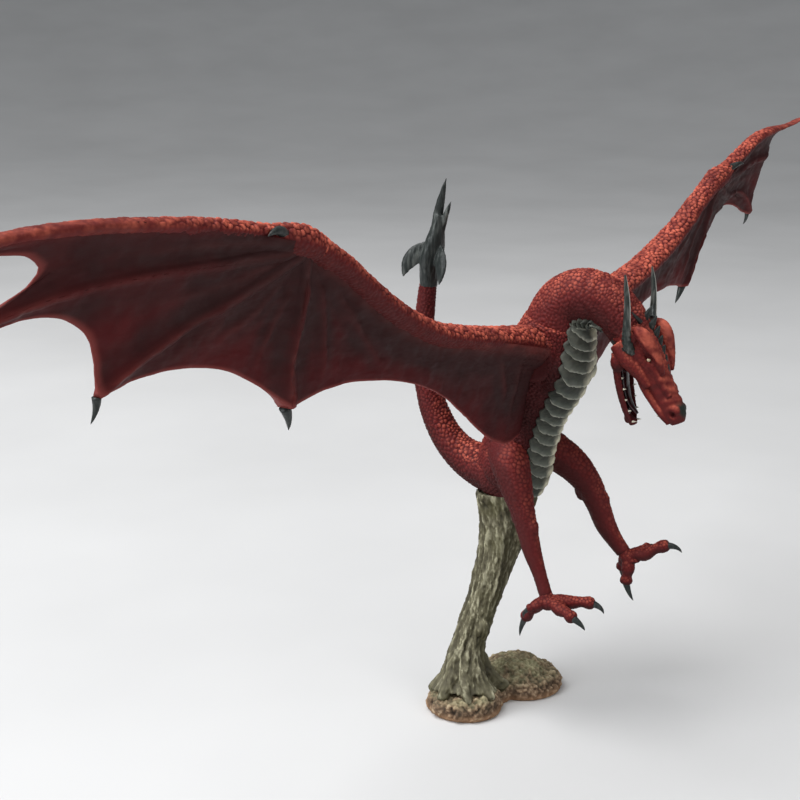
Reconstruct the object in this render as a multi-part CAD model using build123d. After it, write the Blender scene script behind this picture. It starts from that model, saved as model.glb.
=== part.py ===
from build123d import *
import math
import os

# Painted winged-dragon miniature on a bare tree trunk, as the castings and pins that it is put together from.
#
# Row frame, in millimetres: +Z up, the dragon faces -Y, its right wing runs to -X and its left wing to +X.
# X = 0 is the dragon's mid-plane. The origin is on the flat underside of the ground plate, straight below
# the steel pin that carries the dragon.

# ---- driving dimensions ----------------------------------------------------------------------------
GLUE_GAP = 0.1  # filler line between two castings that are glued
PLUG_GAP = 0.15  # air on each side of a plug that pulls apart
RUNNING_GAP = 0.06  # radial air round the pin that the dragon lifts off

PLATE_TOP = 5.5  # height of the flat seat for the trunk on the ground plate
TRUNK_TOP = 54.5  # height of the broken end that the dragon rests on
NECK_SEAT = 99.5  # height of the neck's joint with the torso

CARRY_PIN_R = 1.0  # steel pin between trunk and dragon
CARRY_PIN_DEPTH = 10.0  # its length in each of the two
ROD_R = 0.8  # brass rod that pins the heavier joints
WIRE_R = 0.5  # brass wire that pins the light ones

WING_ROOT = 11.2  # distance of the wing's flat root from the mid-plane
WING_SPLIT = 101.0  # distance of the joint between inner and outer wing castings
MEMBRANE = 1.1  # thickness of the wing skin
WEB = 0.8  # its thickness past the notch
CLAW_R = 1.1  # radius at the root of a claw


# ---- helpers ---------------------------------------------------------------------------------------
def ring(centre, normal, side, depth, across=(1, 0, 0)):
    """Closed smooth curve through eight points of an ellipse: side is its half width along across."""
    n = Vector(*normal).normalized()
    x = Vector(*across)
    x = (x - n * x.dot(n)).normalized()
    y = n.cross(x)
    turns = [math.tau * k / 8 for k in range(8)]
    points = [Vector(*centre) + x * (side * math.cos(t)) + y * (depth * math.sin(t)) for t in turns]
    return Wire([Edge.make_spline(points, periodic=True)])


def limb(stations, start=None, end=None, across=(1, 0, 0)):
    """Solid lofted through (x, y, z, half width, half depth) stations, square to the line they follow."""
    centres = [Vector(*s[:3]) for s in stations]
    wires = []
    for k, s in enumerate(stations):
        before = centres[max(k - 1, 0)]
        after = centres[min(k + 1, len(centres) - 1)]
        normal = tuple(after - before)
        if k == 0 and start:
            normal = start
        if k == len(stations) - 1 and end:
            normal = end
        wires.append(ring(s[:3], normal, s[3], s[4], across))
    return Solid.make_loft(wires)


def rod(a, b, radius, radius_end=None):
    """Cylinder, or cone if radius_end is given, from point a to point b."""
    a, b = Vector(*a), Vector(*b)
    place = Plane(origin=a, z_dir=(b - a).normalized())
    length = (b - a).length
    if radius_end is None:
        return Solid.make_cylinder(radius, length, place)
    return Solid.make_cone(radius, radius_end, length, place)


def bone(points, swell=1.03):
    """Chain of cones through (x, y, z, radius) points, with a slightly larger ball at each inner one."""
    made = None
    for (*a, ra), (*b, rb) in zip(points, points[1:]):
        piece = rod(a, b, ra, rb)
        made = piece if made is None else made + piece + Pos(*a) * Sphere(ra * swell)
    return made


def mirrored(shape, side):
    """The shape itself for the right side (-1), or its mirror image for the left side (+1)."""
    return shape if side < 0 else shape.mirror(Plane.YZ)


def whole(shape):
    """The largest solid of a boolean's result."""
    return max(shape.solids(), key=lambda s: s.volume)


def write(name, *solids):
    """One STEP file for the node."""
    shape = solids[0] if len(solids) == 1 else Compound(children=list(solids))
    export_step(shape, f"parts/{name}.step")


# ---- stand -----------------------------------------------------------------------------------------
LOBES = [((-18.0, 1.0), (9.3, 9.8)), ((2.5, -4.5), (10.9, 11.2))]  # centre and half sizes of each lobe
LOBE_HEIGHT = {0: PLATE_TOP, 1: 4.8}
FOOT = (-16.0, 2.5)  # middle of the trunk's foot on the plate
TENON_R = 3.2
TENON_LENGTH = 3.6


def ground_plate():
    """Two-lobed rock plate with a flat underside, a low mound and a blind socket for the trunk."""
    plate = None
    for k, (centre, half) in enumerate(LOBES):
        outline = Pos(*centre) * Ellipse(*half)
        lobe = extrude(outline, LOBE_HEIGHT[k], taper=9)
        plate = lobe if plate is None else plate + lobe
    bridge = Pos(-8.5, -1.0, 2.2) * Box(14, 12.5, 4.4)
    mound = Pos(1.0, -3.0, 1.5) * Sphere(13.5).scale(0.62)
    mound = whole(mound & Pos(0, 0, 20) * Box(80, 80, 40))
    socket = rod((*FOOT, PLATE_TOP - TENON_LENGTH - GLUE_GAP), (*FOOT, 20), TENON_R + GLUE_GAP)
    seat = Pos(FOOT[0], FOOT[1], PLATE_TOP + 5) * Cylinder(9.5, 10)
    return whole(plate + bridge + mound - seat - socket)


TRUNK = [  # x, y, z, half width, half depth
    (-15.8, 2.6, PLATE_TOP + GLUE_GAP, 7.0, 6.6),
    (-14.6, 2.8, 12.5, 4.8, 4.7),
    (-10.9, 1.2, 24.0, 4.0, 4.1),
    (-6.4, -0.4, 36.0, 4.7, 4.9),
    (-2.0, -0.6, 48.0, 6.2, 6.4),
    (-0.3, -0.6, TRUNK_TOP, 6.9, 7.2),
]
ROOTS = [((-25.0, 3.0), 2.2), ((-20.0, -6.0), 2.2), ((-10.0, -5.0), 2.0), ((-15.0, 9.5), 2.0)]


def tree_trunk():
    """Leaning dead trunk with spreading roots, a tenon below and a broken hollow end above."""
    trunk = limb(TRUNK, start=(0, 0, 1), end=(0, 0, 1))
    for (x, y), radius in ROOTS:
        trunk += rod((FOOT[0], FOOT[1], 12), (x, y, PLATE_TOP + 1), 3.0, radius * 0.5)
    above = Pos(0, 0, PLATE_TOP + GLUE_GAP + 40) * Box(120, 120, 80)
    trunk = whole(trunk & above)
    trunk += rod((*FOOT, PLATE_TOP - TENON_LENGTH), (*FOOT, PLATE_TOP + 2), TENON_R)
    hollow = Pos(3.6, -4.0, TRUNK_TOP) * Sphere(1.6)
    bore = rod((0, 0, TRUNK_TOP - CARRY_PIN_DEPTH), (0, 0, TRUNK_TOP + 1), CARRY_PIN_R)
    return whole(trunk - hollow - bore)


def carry_pin():
    """Steel pin, half of it glued in the trunk and half of it standing up into the dragon."""
    return rod((0, 0, TRUNK_TOP - CARRY_PIN_DEPTH), (0, 0, TRUNK_TOP + CARRY_PIN_DEPTH), CARRY_PIN_R)


# ---- torso, neck and head --------------------------------------------------------------------------
TORSO = [
    (0, -1.2, TRUNK_TOP + 0.1, 7.6, 8.4),
    (0, -2.0, 60.0, 8.6, 9.8),
    (0, -4.2, 71.0, 8.2, 9.6),
    (0, -6.8, 82.0, 8.8, 9.8),
    (0, -11.0, 91.5, 10.2, 11.2),
    (0, -15.0, NECK_SEAT, 8.9, 10.0),
]
SHOULDER = (-12.5, 95.0)  # y and z of the wing's plug
PLUG = (5.6, 3.2, 6.0)  # height, thickness and length of the wing's plug
PAD_R = 5.0  # radius of the flat pad that each wing's root meets
TAIL_SEAT = (8.3, 61.2)  # y and z of the middle of the tail's joint
TAIL_RUN = (0, 0.92, 0.40)  # the way the tail leaves it


def socket_box(side, grow):
    """Solid of the wing's plug, or of its socket if grow is over 0. It crosses the root plane outwards."""
    height, thickness, length = PLUG
    inner = WING_ROOT - length - grow
    outer = WING_ROOT + 2.0
    box = Box(outer - inner, thickness + 2 * grow, height + 2 * grow)
    return Pos(side * (inner + outer) / 2, SHOULDER[0], SHOULDER[1]) * box


def torso(rods):
    """Chest, belly and hips, with flat shoulder pads and a socket for each wing."""
    body = limb(TORSO, start=(0, 0, 1), end=(0, 0, 1))
    for side in (-1, 1):
        inner = (side * 5.0, SHOULDER[0], SHOULDER[1] - 1.0)
        outer = (side * (WING_ROOT - 0.3), SHOULDER[0], SHOULDER[1] - 1.0)
        body += rod(inner, outer, PAD_R + 0.3, PAD_R)
    cut = Plane(origin=(0, *TAIL_SEAT), z_dir=TAIL_RUN)
    body = whole(split(body, bisect_by=cut, keep=Keep.BOTTOM))
    for side in (-1, 1):
        body -= socket_box(side, PLUG_GAP)
    bore = rod((0, 0, 50), (0, 0, TRUNK_TOP + CARRY_PIN_DEPTH + 0.5), CARRY_PIN_R + RUNNING_GAP)
    body -= bore
    for r in rods:
        body -= r
    return whole(body)


NECK = [  # y and z of the middle, half depth in the mid-plane, half width, y and z of the normal
    (-15.0, NECK_SEAT + GLUE_GAP, 10.0, 8.9, (0.0, 1.0)),
    (-15.6, 105.2, 8.4, 7.9, (-0.32, 0.95)),
    (-19.4, 108.4, 7.2, 7.0, (-0.74, 0.67)),
    (-24.9, 108.8, 6.4, 6.3, (-0.99, 0.14)),
    (-30.4, 106.2, 5.7, 5.7, (-0.93, -0.37)),
    (-34.0, 100.7, 5.2, 5.2, (-0.735, -0.68)),
]


def neck():
    """Thick neck that arches over forwards from the chest, one span at a time so that it can't twist."""
    wires = [ring((0, y, z), (0, *n), side, deep) for y, z, deep, side, n in NECK]
    spans = [Solid.make_loft([a, b]) for a, b in zip(wires, wires[1:])]
    return whole(spans[0].fuse(*spans[1:]))


SNOUT_RUN = Vector(0, -0.55, -0.835).normalized()  # from the neck towards the nose
CROWN_WAY = Vector(0, -0.835, 0.55).normalized()  # out of the top of the head
HEAD_SEAT = Vector(0, -34.0, 100.7)
HEAD = [  # distance along the snout, shift towards the crown, half width, half depth
    (4.5, 0.4, 5.6, 5.4),
    (9.0, 0.6, 5.4, 4.4),
    (13.5, 0.5, 3.9, 3.2),
    (18.5, 0.2, 3.2, 2.6),
    (23.0, 0.3, 2.3, 2.0),
]


def head():
    """Skull and upper jaw, pointing down and forwards from the end of the neck."""
    seat_normal = (0, -0.735, -0.68)
    wires = [ring(tuple(HEAD_SEAT + Vector(*seat_normal) * GLUE_GAP), seat_normal, 5.2, 5.2)]
    for along, up, side, deep in HEAD:
        centre = HEAD_SEAT + SNOUT_RUN * along + CROWN_WAY * up
        wires.append(ring(tuple(centre), tuple(SNOUT_RUN), side, deep))
    return Solid.make_loft(wires)


JAW = [  # y, z, half width, half depth
    (-33.4, 92.6, 4.2, 2.4),
    (-33.5, 88.0, 3.9, 1.9),
    (-34.3, 83.0, 3.0, 1.5),
    (-35.4, 78.4, 1.6, 1.0),
]


def lower_jaw():
    """Open lower jaw, with its seat where it leaves the cheeks."""
    return limb([(0, y, z, side, deep) for y, z, side, deep in JAW])


HORN = [(4.6, -38.4, 98.6, 1.3), (6.0, -37.6, 104.5, 1.1), (6.8, -36.6, 110.0, 0.85), (7.1, -35.4, 115.8, 0.4)]


def horn(side):
    """Long horn that stands up from the back of the skull."""
    return limb([(side * x, y, z, r, r) for x, y, z, r in HORN])


# ---- legs and feet ---------------------------------------------------------------------------------
LEGS = {  # x, y, z, radius from hip to ankle
    "right": [
        (-4.0, -3.0, 66.5, 5.0),
        (-8.5, -7.5, 65.5, 5.2),
        (-10.5, -10.6, 59.6, 4.8),
        (-11.5, -12.8, 52.4, 3.7),
        (-12.0, -14.2, 46.3, 2.8),
        (-12.5, -16.7, 40.1, 2.3),
        (-13.0, -19.2, 34.4, 1.8),
    ],
    "left": [
        (3.0, -6.0, 66.0, 5.0),
        (8.0, -10.6, 65.1, 5.2),
        (10.0, -15.2, 61.8, 4.8),
        (11.0, -19.6, 56.2, 3.7),
        (11.5, -22.1, 50.6, 3.2),
        (12.0, -24.6, 45.0, 2.6),
        (12.5, -28.0, 40.2, 2.0),
    ],
}
TOES = {  # palm, then each toe's knuckle, last joint and claw tip
    "right": [
        [(-11.0, -25.7, 32.9), (-10.0, -30.7, 33.5), (-10.0, -33.4, 31.6)],
        [(-15.0, -24.3, 32.2), (-16.0, -28.2, 31.2), (-16.0, -31.6, 29.0)],
        [(-13.0, -16.4, 29.9), (-13.0, -13.4, 26.0), (-13.0, -12.0, 21.6)],
    ],
    "left": [
        [(13.0, -34.2, 40.4), (14.0, -40.1, 43.4), (14.0, -43.9, 42.4)],
        [(10.8, -30.2, 35.0), (10.5, -30.2, 32.0), (10.5, -32.5, 28.0)],
        [(15.6, -27.4, 36.0), (17.0, -26.4, 34.0), (17.6, -27.2, 30.6)],
    ],
}
SOLE_RUN = {"right": (0, -0.15, -1.0), "left": (0, -0.6, -0.8)}  # the way the foot leaves the ankle
TOE_R = 1.45


def leg(name, trunk_of_body):
    """Thigh and shin, cut to the torso's own surface at the hip."""
    stations = [(x, y, z, r, r) for x, y, z, r in LEGS[name]]
    return whole(limb(stations, end=SOLE_RUN[name]) - trunk_of_body)


def foot(name):
    """Palm with three clawed toes."""
    ankle = Vector(*LEGS[name][-1][:3])
    run = Vector(*SOLE_RUN[name]).normalized()
    start = ankle + run * GLUE_GAP
    palm = ankle + run * 1.9
    sole = rod(tuple(start), tuple(palm), 1.8, 1.9) + Pos(*tuple(palm)) * Sphere(1.95)
    for knuckle, last, tip in TOES[name]:
        sole += rod(tuple(palm), knuckle, TOE_R, TOE_R * 0.9) + Pos(*knuckle) * Sphere(TOE_R * 1.02)
        sole += rod(knuckle, last, TOE_R * 0.95, CLAW_R) + Pos(*last) * Sphere(CLAW_R)
        sole += rod(last, tip, CLAW_R, 0.25)
    above = Plane(origin=tuple(start), z_dir=tuple(run))
    return whole(split(sole, bisect_by=above, keep=Keep.TOP))


# ---- tail ------------------------------------------------------------------------------------------
TAIL = [  # y, z, radius
    (8.3, 61.2, 5.6),
    (11.0, 62.0, 5.0),
    (15.5, 64.6, 4.0),
    (21.0, 72.5, 3.5),
    (24.0, 80.5, 3.2),
    (25.5, 89.5, 2.9),
    (25.0, 98.0, 2.5),
    (24.0, 107.0, 2.2),
]
BARBS = [(135, 8.2, 110.0), (233, 8.6, 109.0), (41, 6.5, 112.0)]  # heading, reach, height of the point
BLADES = [((0.0, 18.8, 134.8), 1.5), ((1.2, 17.2, 129.0), 1.0)]  # tip and half width at the root


def tail():
    """Tail that leaves the hips backwards and curls up behind the right wing."""
    stations = [(0, y + TAIL_RUN[1] * GLUE_GAP, z, r, r) for y, z, r in TAIL]
    return limb(stations, start=TAIL_RUN)


def tail_blade():
    """Horny tail tip: a collar, two long blades and three swept-back barbs."""
    root = Vector(0, 24.0, 107.0 + GLUE_GAP)
    top = Vector(0, 22.4, 118.0)
    blade = limb([(*root, 2.2, 2.2), (0, 23.2, 112.0, 2.4, 1.9), (*top, 1.7, 1.5)])
    for tip, half in BLADES:
        blade += rod(tuple(top - Vector(0, -0.3, 2.0)), tip, half, 0.3)
    for heading, reach, height in BARBS:
        away = Vector(math.cos(math.radians(heading)), math.sin(math.radians(heading)), 0)
        point = Vector(0, 23.4, height) + away * reach
        blade += rod(tuple(top - Vector(0, 0, 1.0)), tuple(point), 1.5, 0.3)
    return whole(blade)


# ---- wings: all stations are for a wing that runs along +a, away from the mid-plane -----------------
ARM = [  # a, y, z, radius of the arm bone
    (WING_ROOT, -12.5, 97.0, 4.6),
    (28.0, -13.0, 101.0, 3.3),
    (45.0, -13.0, 104.8, 2.8),
    (60.0, -13.2, 109.0, 2.8),
    (80.0, -13.6, 119.0, 2.6),
    (95.0, -14.0, 128.5, 2.5),
    (WING_SPLIT, -14.0, 131.5, 2.6),
]
INNER_EDGE = [  # a, and z of the trailing edge
    (WING_ROOT, 73.0),
    (16.0, 76.5),
    (24.0, 81.5),
    (36.0, 88.3),
    (50.0, 93.8),
    (66.0, 97.8),
    (82.0, 99.8),
    (94.0, 99.6),
    (WING_SPLIT, 97.2),
]
OUTER_EDGE = [
    (WING_SPLIT, 97.2),
    (107.0, 102.0),
    (116.0, 107.6),
    (127.0, 112.4),
    (139.0, 114.2),
    (148.0, 113.2),
    (152.5, 111.8),
    (154.5, 119.0),
    (157.5, 124.8),
    (162.0, 127.6),
    (168.0, 128.8),
]
FINGER_1 = [(107.5, 134.0, 2.6), (126.0, 137.8, 1.9), (146.0, 140.6, 1.6), (168.0, 142.0, 1.35), (204.0, 138.5, 0.8)]
FINGER_2 = [(107.0, 131.0, 1.6), (137.0, 131.8, 1.25), (155.0, 131.9, 1.1), (172.0, 130.6, 1.0), (193.0, 124.0, 0.7)]
FINGER_3 = [(105.0, 129.5, 1.6), (117.5, 125.8, 1.3), (131.0, 122.3, 1.15), (146.5, 116.3, 1.0), (153.2, 111.8, 0.85)]
FINGER_4 = [(98.2, 128.0, 1.9), (100.0, 119.0, 1.6), (99.2, 108.0, 1.3), (98.6, 98.0, 1.0)]
TIPS = {  # claw from the end of each finger: a and z of its point
    1: (209.5, 136.0),
    2: (197.5, 121.0),
    3: (154.6, 108.0),
    4: (99.6, 93.6),
}


def arm_line(a):
    """y and z of the arm, or of the leading finger, at distance a from the mid-plane."""
    line = [(s[0], s[1], s[2]) for s in ARM] + [(f[0], -14.0, f[1]) for f in FINGER_1]
    for (a0, y0, z0), (a1, y1, z1) in zip(line, line[1:]):
        if a <= a1:
            t = max(0.0, (a - a0) / (a1 - a0))
            return y0 + (y1 - y0) * t, z0 + (z1 - z0) * t
    return line[-1][1:]


def skin_y(a, z):
    """y of the middle of the wing skin: it hangs back from the arm, steeper at the body."""
    y0, z0 = arm_line(a)
    slope = 0.25 + 0.14 * max(0.0, 1 - (a - WING_ROOT) / (WING_SPLIT - WING_ROOT))
    return y0 + slope * (z0 - z)


def strip(a, top, bottom, thickness=MEMBRANE):
    """Thin four-sided outline across the skin at distance a, from height top down to bottom."""
    half = thickness / 2
    corners = [(top, -half), (top, half), (bottom, half * 0.7), (bottom, -half * 0.7)]
    return Wire.make_polygon([(-a, skin_y(a, z) + dy, z) for z, dy in corners])


def skin(edge):
    """Wing skin between the arm line and the given trailing edge."""
    return Solid.make_loft([strip(a, arm_line(a)[1], z) for a, z in edge], ruled=True)


def finger(stations, tip):
    """Tapering finger bone that lies in the skin and ends in a claw."""
    points = [(-a, skin_y(a, z), z, r) for a, z, r in stations]
    a, z = tip
    return bone(points + [(-a, skin_y(a, z), z, 0.25)])


def web(a_root, top, bottom, a_tip, z_tip):
    """Narrow strip of thinner skin that runs out along a finger past the notch."""
    root = strip(a_root, top, bottom, WEB)
    return Solid.make_loft([root, strip(a_tip, z_tip + 0.5, z_tip - 0.3, WEB)], ruled=True)


def inner_wing():
    """Right upper arm, forearm and the skin between them and the body, with the plug at the shoulder."""
    stations = [(-a, y, z, r, r) for a, y, z, r in ARM]
    wing = limb(stations, start=(-1, 0, 0), end=(-1, 0, 0), across=(0, 1, 0))
    wing += skin(INNER_EDGE)
    wing += finger(FINGER_4, TIPS[4])
    inside = Pos(-WING_ROOT - 100, 0, 110) * Box(200, 200, 200)
    wing = whole(wing & inside)
    wing += socket_box(-1, 0.0) & Pos(-8, 0, 97) * Box(10, 20, 20)
    shed = Plane(origin=(-WING_SPLIT, 0, 0), z_dir=(-1, 0, 0))
    return whole(split(wing, bisect_by=shed, keep=Keep.BOTTOM))


def outer_wing():
    """Right hand: wrist, three fingers, the thumb claw and the skin between them."""
    wrist = Pos(-108.0, -14.0, 133.6) * Sphere(3.1)
    wrist_arm = rod((-WING_SPLIT, -14.0, 131.5), (-108.0, -14.0, 133.6), 2.6, 2.9)
    thumb = rod((-109.0, -14.5, 135.0), (-113.5, -16.0, 137.6), 1.3, 0.3)
    wing = skin(OUTER_EDGE) + wrist + wrist_arm + thumb
    wing += web(166.0, 142.0, 138.2, 200.0, 138.6)
    wing += web(166.0, 134.5, 129.0, 190.0, 124.8)
    for stations, tip in ((FINGER_1, TIPS[1]), (FINGER_2, TIPS[2]), (FINGER_3, TIPS[3])):
        wing += finger(stations, tip)
    edge = Plane(origin=(-WING_SPLIT - GLUE_GAP, 0, 0), z_dir=(-1, 0, 0))
    return whole(split(wing, bisect_by=edge, keep=Keep.TOP))


def wrist_rod():
    """Brass rod through the joint between inner and outer wing."""
    return rod((-96.5, -14.0, 130.2), (-106.5, -14.0, 132.6), ROD_R)


# ---- rods ------------------------------------------------------------------------------------------
def body_rods():
    """Brass rods that pin the neck, the tail and both legs to the torso."""
    tail_mid = Vector(0, *TAIL_SEAT)
    run = Vector(*TAIL_RUN)
    return {
        "neck_rod": rod((0, -15.0, 92.5), (0, -15.6, 104.0), ROD_R),
        "tail_rod": rod(tuple(tail_mid - run * 4.0), tuple(tail_mid + run * 4.5), ROD_R),
        "right_hip_rod": rod((-4.6, -4.6, 66.2), (-10.6, -8.6, 64.6), ROD_R),
        "left_hip_rod": rod((4.4, -7.4, 65.6), (10.4, -12.6, 64.2), ROD_R),
    }


def ankle_wire(name):
    """Brass wire through the ankle."""
    ankle = Vector(*LEGS[name][-1][:3])
    run = Vector(*SOLE_RUN[name]).normalized()
    return rod(tuple(ankle - run * 2.6), tuple(ankle + run * 2.4), WIRE_R)


def main():
    os.makedirs("parts", exist_ok=True)
    write("ground_plate", ground_plate())
    write("tree_trunk", tree_trunk())
    write("carry_pin", carry_pin())

    rods = body_rods()
    body = torso(rods.values())
    neck_wire = rod((0, -30.6, 103.9), (0, -36.6, 98.0), WIRE_R)
    jaw = lower_jaw()
    horns = {-1: horn(-1), 1: horn(1)}
    skull = head() - neck_wire - jaw
    for h in horns.values():
        skull -= h
    write("torso", body)
    write("neck", whole(neck() - rods["neck_rod"] - neck_wire))
    write("head", whole(skull))
    write("lower_jaw", jaw)
    write("right_horn", horns[-1])
    write("left_horn", horns[1])
    write("neck_rod", rods["neck_rod"])
    write("head_wire", neck_wire)

    for name in ("right", "left"):
        wire = ankle_wire(name)
        write(f"{name}_leg", whole(leg(name, body) - rods[f"{name}_hip_rod"] - wire))
        write(f"{name}_foot", whole(foot(name) - wire))
        write(f"{name}_hip_rod", rods[f"{name}_hip_rod"])
        write(f"{name}_ankle_wire", wire)

    write("tail", whole(tail() - rods["tail_rod"]))
    write("tail_blade", tail_blade())
    write("tail_rod", rods["tail_rod"])

    pin = wrist_rod()
    inner = whole(inner_wing() - pin)
    outer = whole(outer_wing() - pin)
    for name, side in (("right", -1), ("left", 1)):
        write(f"{name}_inner_wing", mirrored(inner, side))
        write(f"{name}_outer_wing", mirrored(outer, side))
        write(f"{name}_wrist_rod", mirrored(pin, side))


main()
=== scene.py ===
"""The looks of a painted winged dragon on a dead tree trunk. Shapes are in millimetres."""

import itertools
import math
import random

import bpy
import numpy as np
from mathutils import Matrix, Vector, noise
from mathutils.bvhtree import BVHTree
from mathutils.kdtree import KDTree


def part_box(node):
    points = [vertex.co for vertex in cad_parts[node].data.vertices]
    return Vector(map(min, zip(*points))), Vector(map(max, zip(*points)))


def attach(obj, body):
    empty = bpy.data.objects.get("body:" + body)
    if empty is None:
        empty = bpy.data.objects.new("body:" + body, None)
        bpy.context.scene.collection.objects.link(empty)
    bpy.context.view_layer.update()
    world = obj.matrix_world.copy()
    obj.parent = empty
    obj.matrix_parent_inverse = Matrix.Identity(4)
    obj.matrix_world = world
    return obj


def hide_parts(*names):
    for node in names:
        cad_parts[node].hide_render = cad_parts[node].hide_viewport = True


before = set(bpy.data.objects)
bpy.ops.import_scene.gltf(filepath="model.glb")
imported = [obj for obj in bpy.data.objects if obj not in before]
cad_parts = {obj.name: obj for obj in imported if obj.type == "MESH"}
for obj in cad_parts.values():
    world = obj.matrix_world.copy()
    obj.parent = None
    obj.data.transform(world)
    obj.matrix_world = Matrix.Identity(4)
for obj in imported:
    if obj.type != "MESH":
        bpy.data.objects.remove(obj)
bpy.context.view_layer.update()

MM = 0.001
FINE = 0.27  # voxel of the scaled hide
DETAIL = 0.2  # voxel of the head and the feet
WING_ROOT = 11.2  # distance of the wing's flat root from the mid-plane
WING_SPLIT = 101  # distance of the joint between the inner and outer wing castings
TRUNK_TOP = 54.5
SHOULDER = (-12.5, 95)  # y and z of the wing's plug
FIGURE = "figure"
STAND = "stand"
SIDES = (("right", -1), ("left", 1))
CELLS_AROUND = list(itertools.product((-1, 0, 1), repeat=3))


# ---- numbers and curves --------------------------------------------------------------------
def unit(x):
    """x held between 0 and 1."""
    return np.clip(x, 0, 1)


def smooth(x, low=0, high=1):
    """0 below low, 1 above high and an S-curve between."""
    t = unit((np.asarray(x, float) - low) / (high - low))
    return t * t * (3 - 2 * t)


def bell(x, width):
    """1 at 0, falling off to both sides over about width."""
    return np.exp(-((x / width) ** 2))


def curve(points, count):
    """Cubic curve through rows whose first three numbers are a place, resampled evenly."""
    p = np.asarray(points, float)
    t = np.concatenate([[0.0], np.cumsum(np.linalg.norm(np.diff(p[:, :3], axis=0), axis=1))])
    slope = np.gradient(p, t, axis=0)
    s = np.linspace(0, t[-1], count)
    i = np.clip(np.searchsorted(t, s, "right") - 1, 0, len(t) - 2)
    h = (t[i + 1] - t[i])[:, None]
    u = ((s - t[i]) / (t[i + 1] - t[i]))[:, None]
    start = (2 * u**3 - 3 * u**2 + 1) * p[i] + (u**3 - 2 * u**2 + u) * h * slope[i]
    end = (3 * u**2 - 2 * u**3) * p[i + 1] + (u**3 - u**2) * h * slope[i + 1]
    return start + end


def flat_curve(points, count):
    """The same through (a, z) points."""
    return curve([(p[0], 0, p[1]) for p in points], count)[:, (0, 2)]


def directions(line):
    """Unit tangent at each row of a line."""
    tangent = np.gradient(line, axis=0)
    return tangent / np.linalg.norm(tangent, axis=1)[:, None]


def rough(points, size, octaves=3, seed=0, stretch=(1, 1, 1)):
    """Fractal noise from about -1 to 1 at each point. Its features are about size across."""
    q = np.asarray(points) * (np.array(stretch) / size) + seed
    return np.array([noise.fractal(Vector(v), 0.9, 2.1, octaves) for v in q])


# ---- meshes as arrays ----------------------------------------------------------------------
class Shape:
    """Points, faces and one number per point for each painted property."""

    def __init__(self, points, faces):
        self.points = np.asarray(points, float)
        self.faces = [tuple(f) for f in faces]
        self.paint = {}

    def normals(self):
        rows = []
        for f in self.faces:
            rows += [f[:3]] if len(f) == 3 else [f[:3], (f[0], f[2], f[3])]
        t = np.array(rows)
        a, b, c = (self.points[t[:, k]] for k in range(3))
        n = np.cross(b - a, c - a)
        out = np.zeros_like(self.points)
        for k in range(3):
            np.add.at(out, t[:, k], n)
        return out / np.maximum(np.linalg.norm(out, axis=1), 1e-12)[:, None]

    def sky(self, low=-0.5, high=0.95):
        """How much each point faces up, from 0 to 1."""
        return smooth(self.normals()[:, 2], low, high)

    def push(self, amount):
        """Moves each point along its normal by amount."""
        self.points += self.normals() * amount[:, None]

    def soften(self, turns):
        """Laplacian smoothing."""
        edges = {tuple(sorted((f[k], f[k - 1]))) for f in self.faces for k in range(len(f))}
        a, b = np.array(list(edges)).T
        count = np.zeros(len(self.points))
        np.add.at(count, a, 1)
        np.add.at(count, b, 1)
        for _ in range(turns):
            total = np.zeros_like(self.points)
            np.add.at(total, a, self.points[b])
            np.add.at(total, b, self.points[a])
            self.points += 0.5 * (total / np.maximum(count, 1)[:, None] - self.points)

    def mirrored(self):
        """The mirror image in the mid-plane, with the faces turned right side out."""
        other = Shape(self.points * (-1, 1, 1), [f[::-1] for f in self.faces])
        other.paint = dict(self.paint)
        return other


def join(*shapes):
    """One shape of several, with any painted numbers that a shape lacks set to 0."""
    faces, first = [], 0
    for s in shapes:
        faces += [tuple(i + first for i in f) for f in s.faces]
        first += len(s.points)
    out = Shape(np.concatenate([s.points for s in shapes]), faces)
    for key in {k for s in shapes for k in s.paint}:
        values = [s.paint.get(key, np.zeros(len(s.points))) for s in shapes]
        out.paint[key] = np.concatenate(values)
    return out


def tube(stations, sides=32, rings=60, across=(1, 0, 0), bulge=None):
    """Closed tube through (x, y, z, half width, half depth) stations, its width along across."""
    s = curve(stations, rings)
    tangent = directions(s[:, :3])
    wide = np.array(across, float) - tangent * (tangent @ np.array(across, float))[:, None]
    wide /= np.linalg.norm(wide, axis=1)[:, None]
    deep = np.cross(tangent, wide)
    turn = np.linspace(0, math.tau, sides, endpoint=False)
    u = wide[:, None, :] * (s[:, None, 3:4] * np.cos(turn)[None, :, None])
    v = deep[:, None, :] * (s[:, None, 4:5] * np.sin(turn)[None, :, None])
    swell = 1 if bulge is None else bulge(np.linspace(0, 1, rings)[:, None], turn)[:, :, None]
    body = s[:, None, :3] + (u + v) * swell
    points = np.concatenate([body.reshape(-1, 3), s[:1, :3], s[-1:, :3]])
    last = (rings - 1) * sides
    ring = [(k, (k + 1) % sides) for k in range(sides)]
    faces = [(r + k, r + n, r + sides + n, r + sides + k)
             for r in range(0, last, sides) for k, n in ring]
    for k, n in ring:
        faces += [(rings * sides, n, k), (rings * sides + 1, last + k, last + n)]
    return Shape(points, faces)


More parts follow.
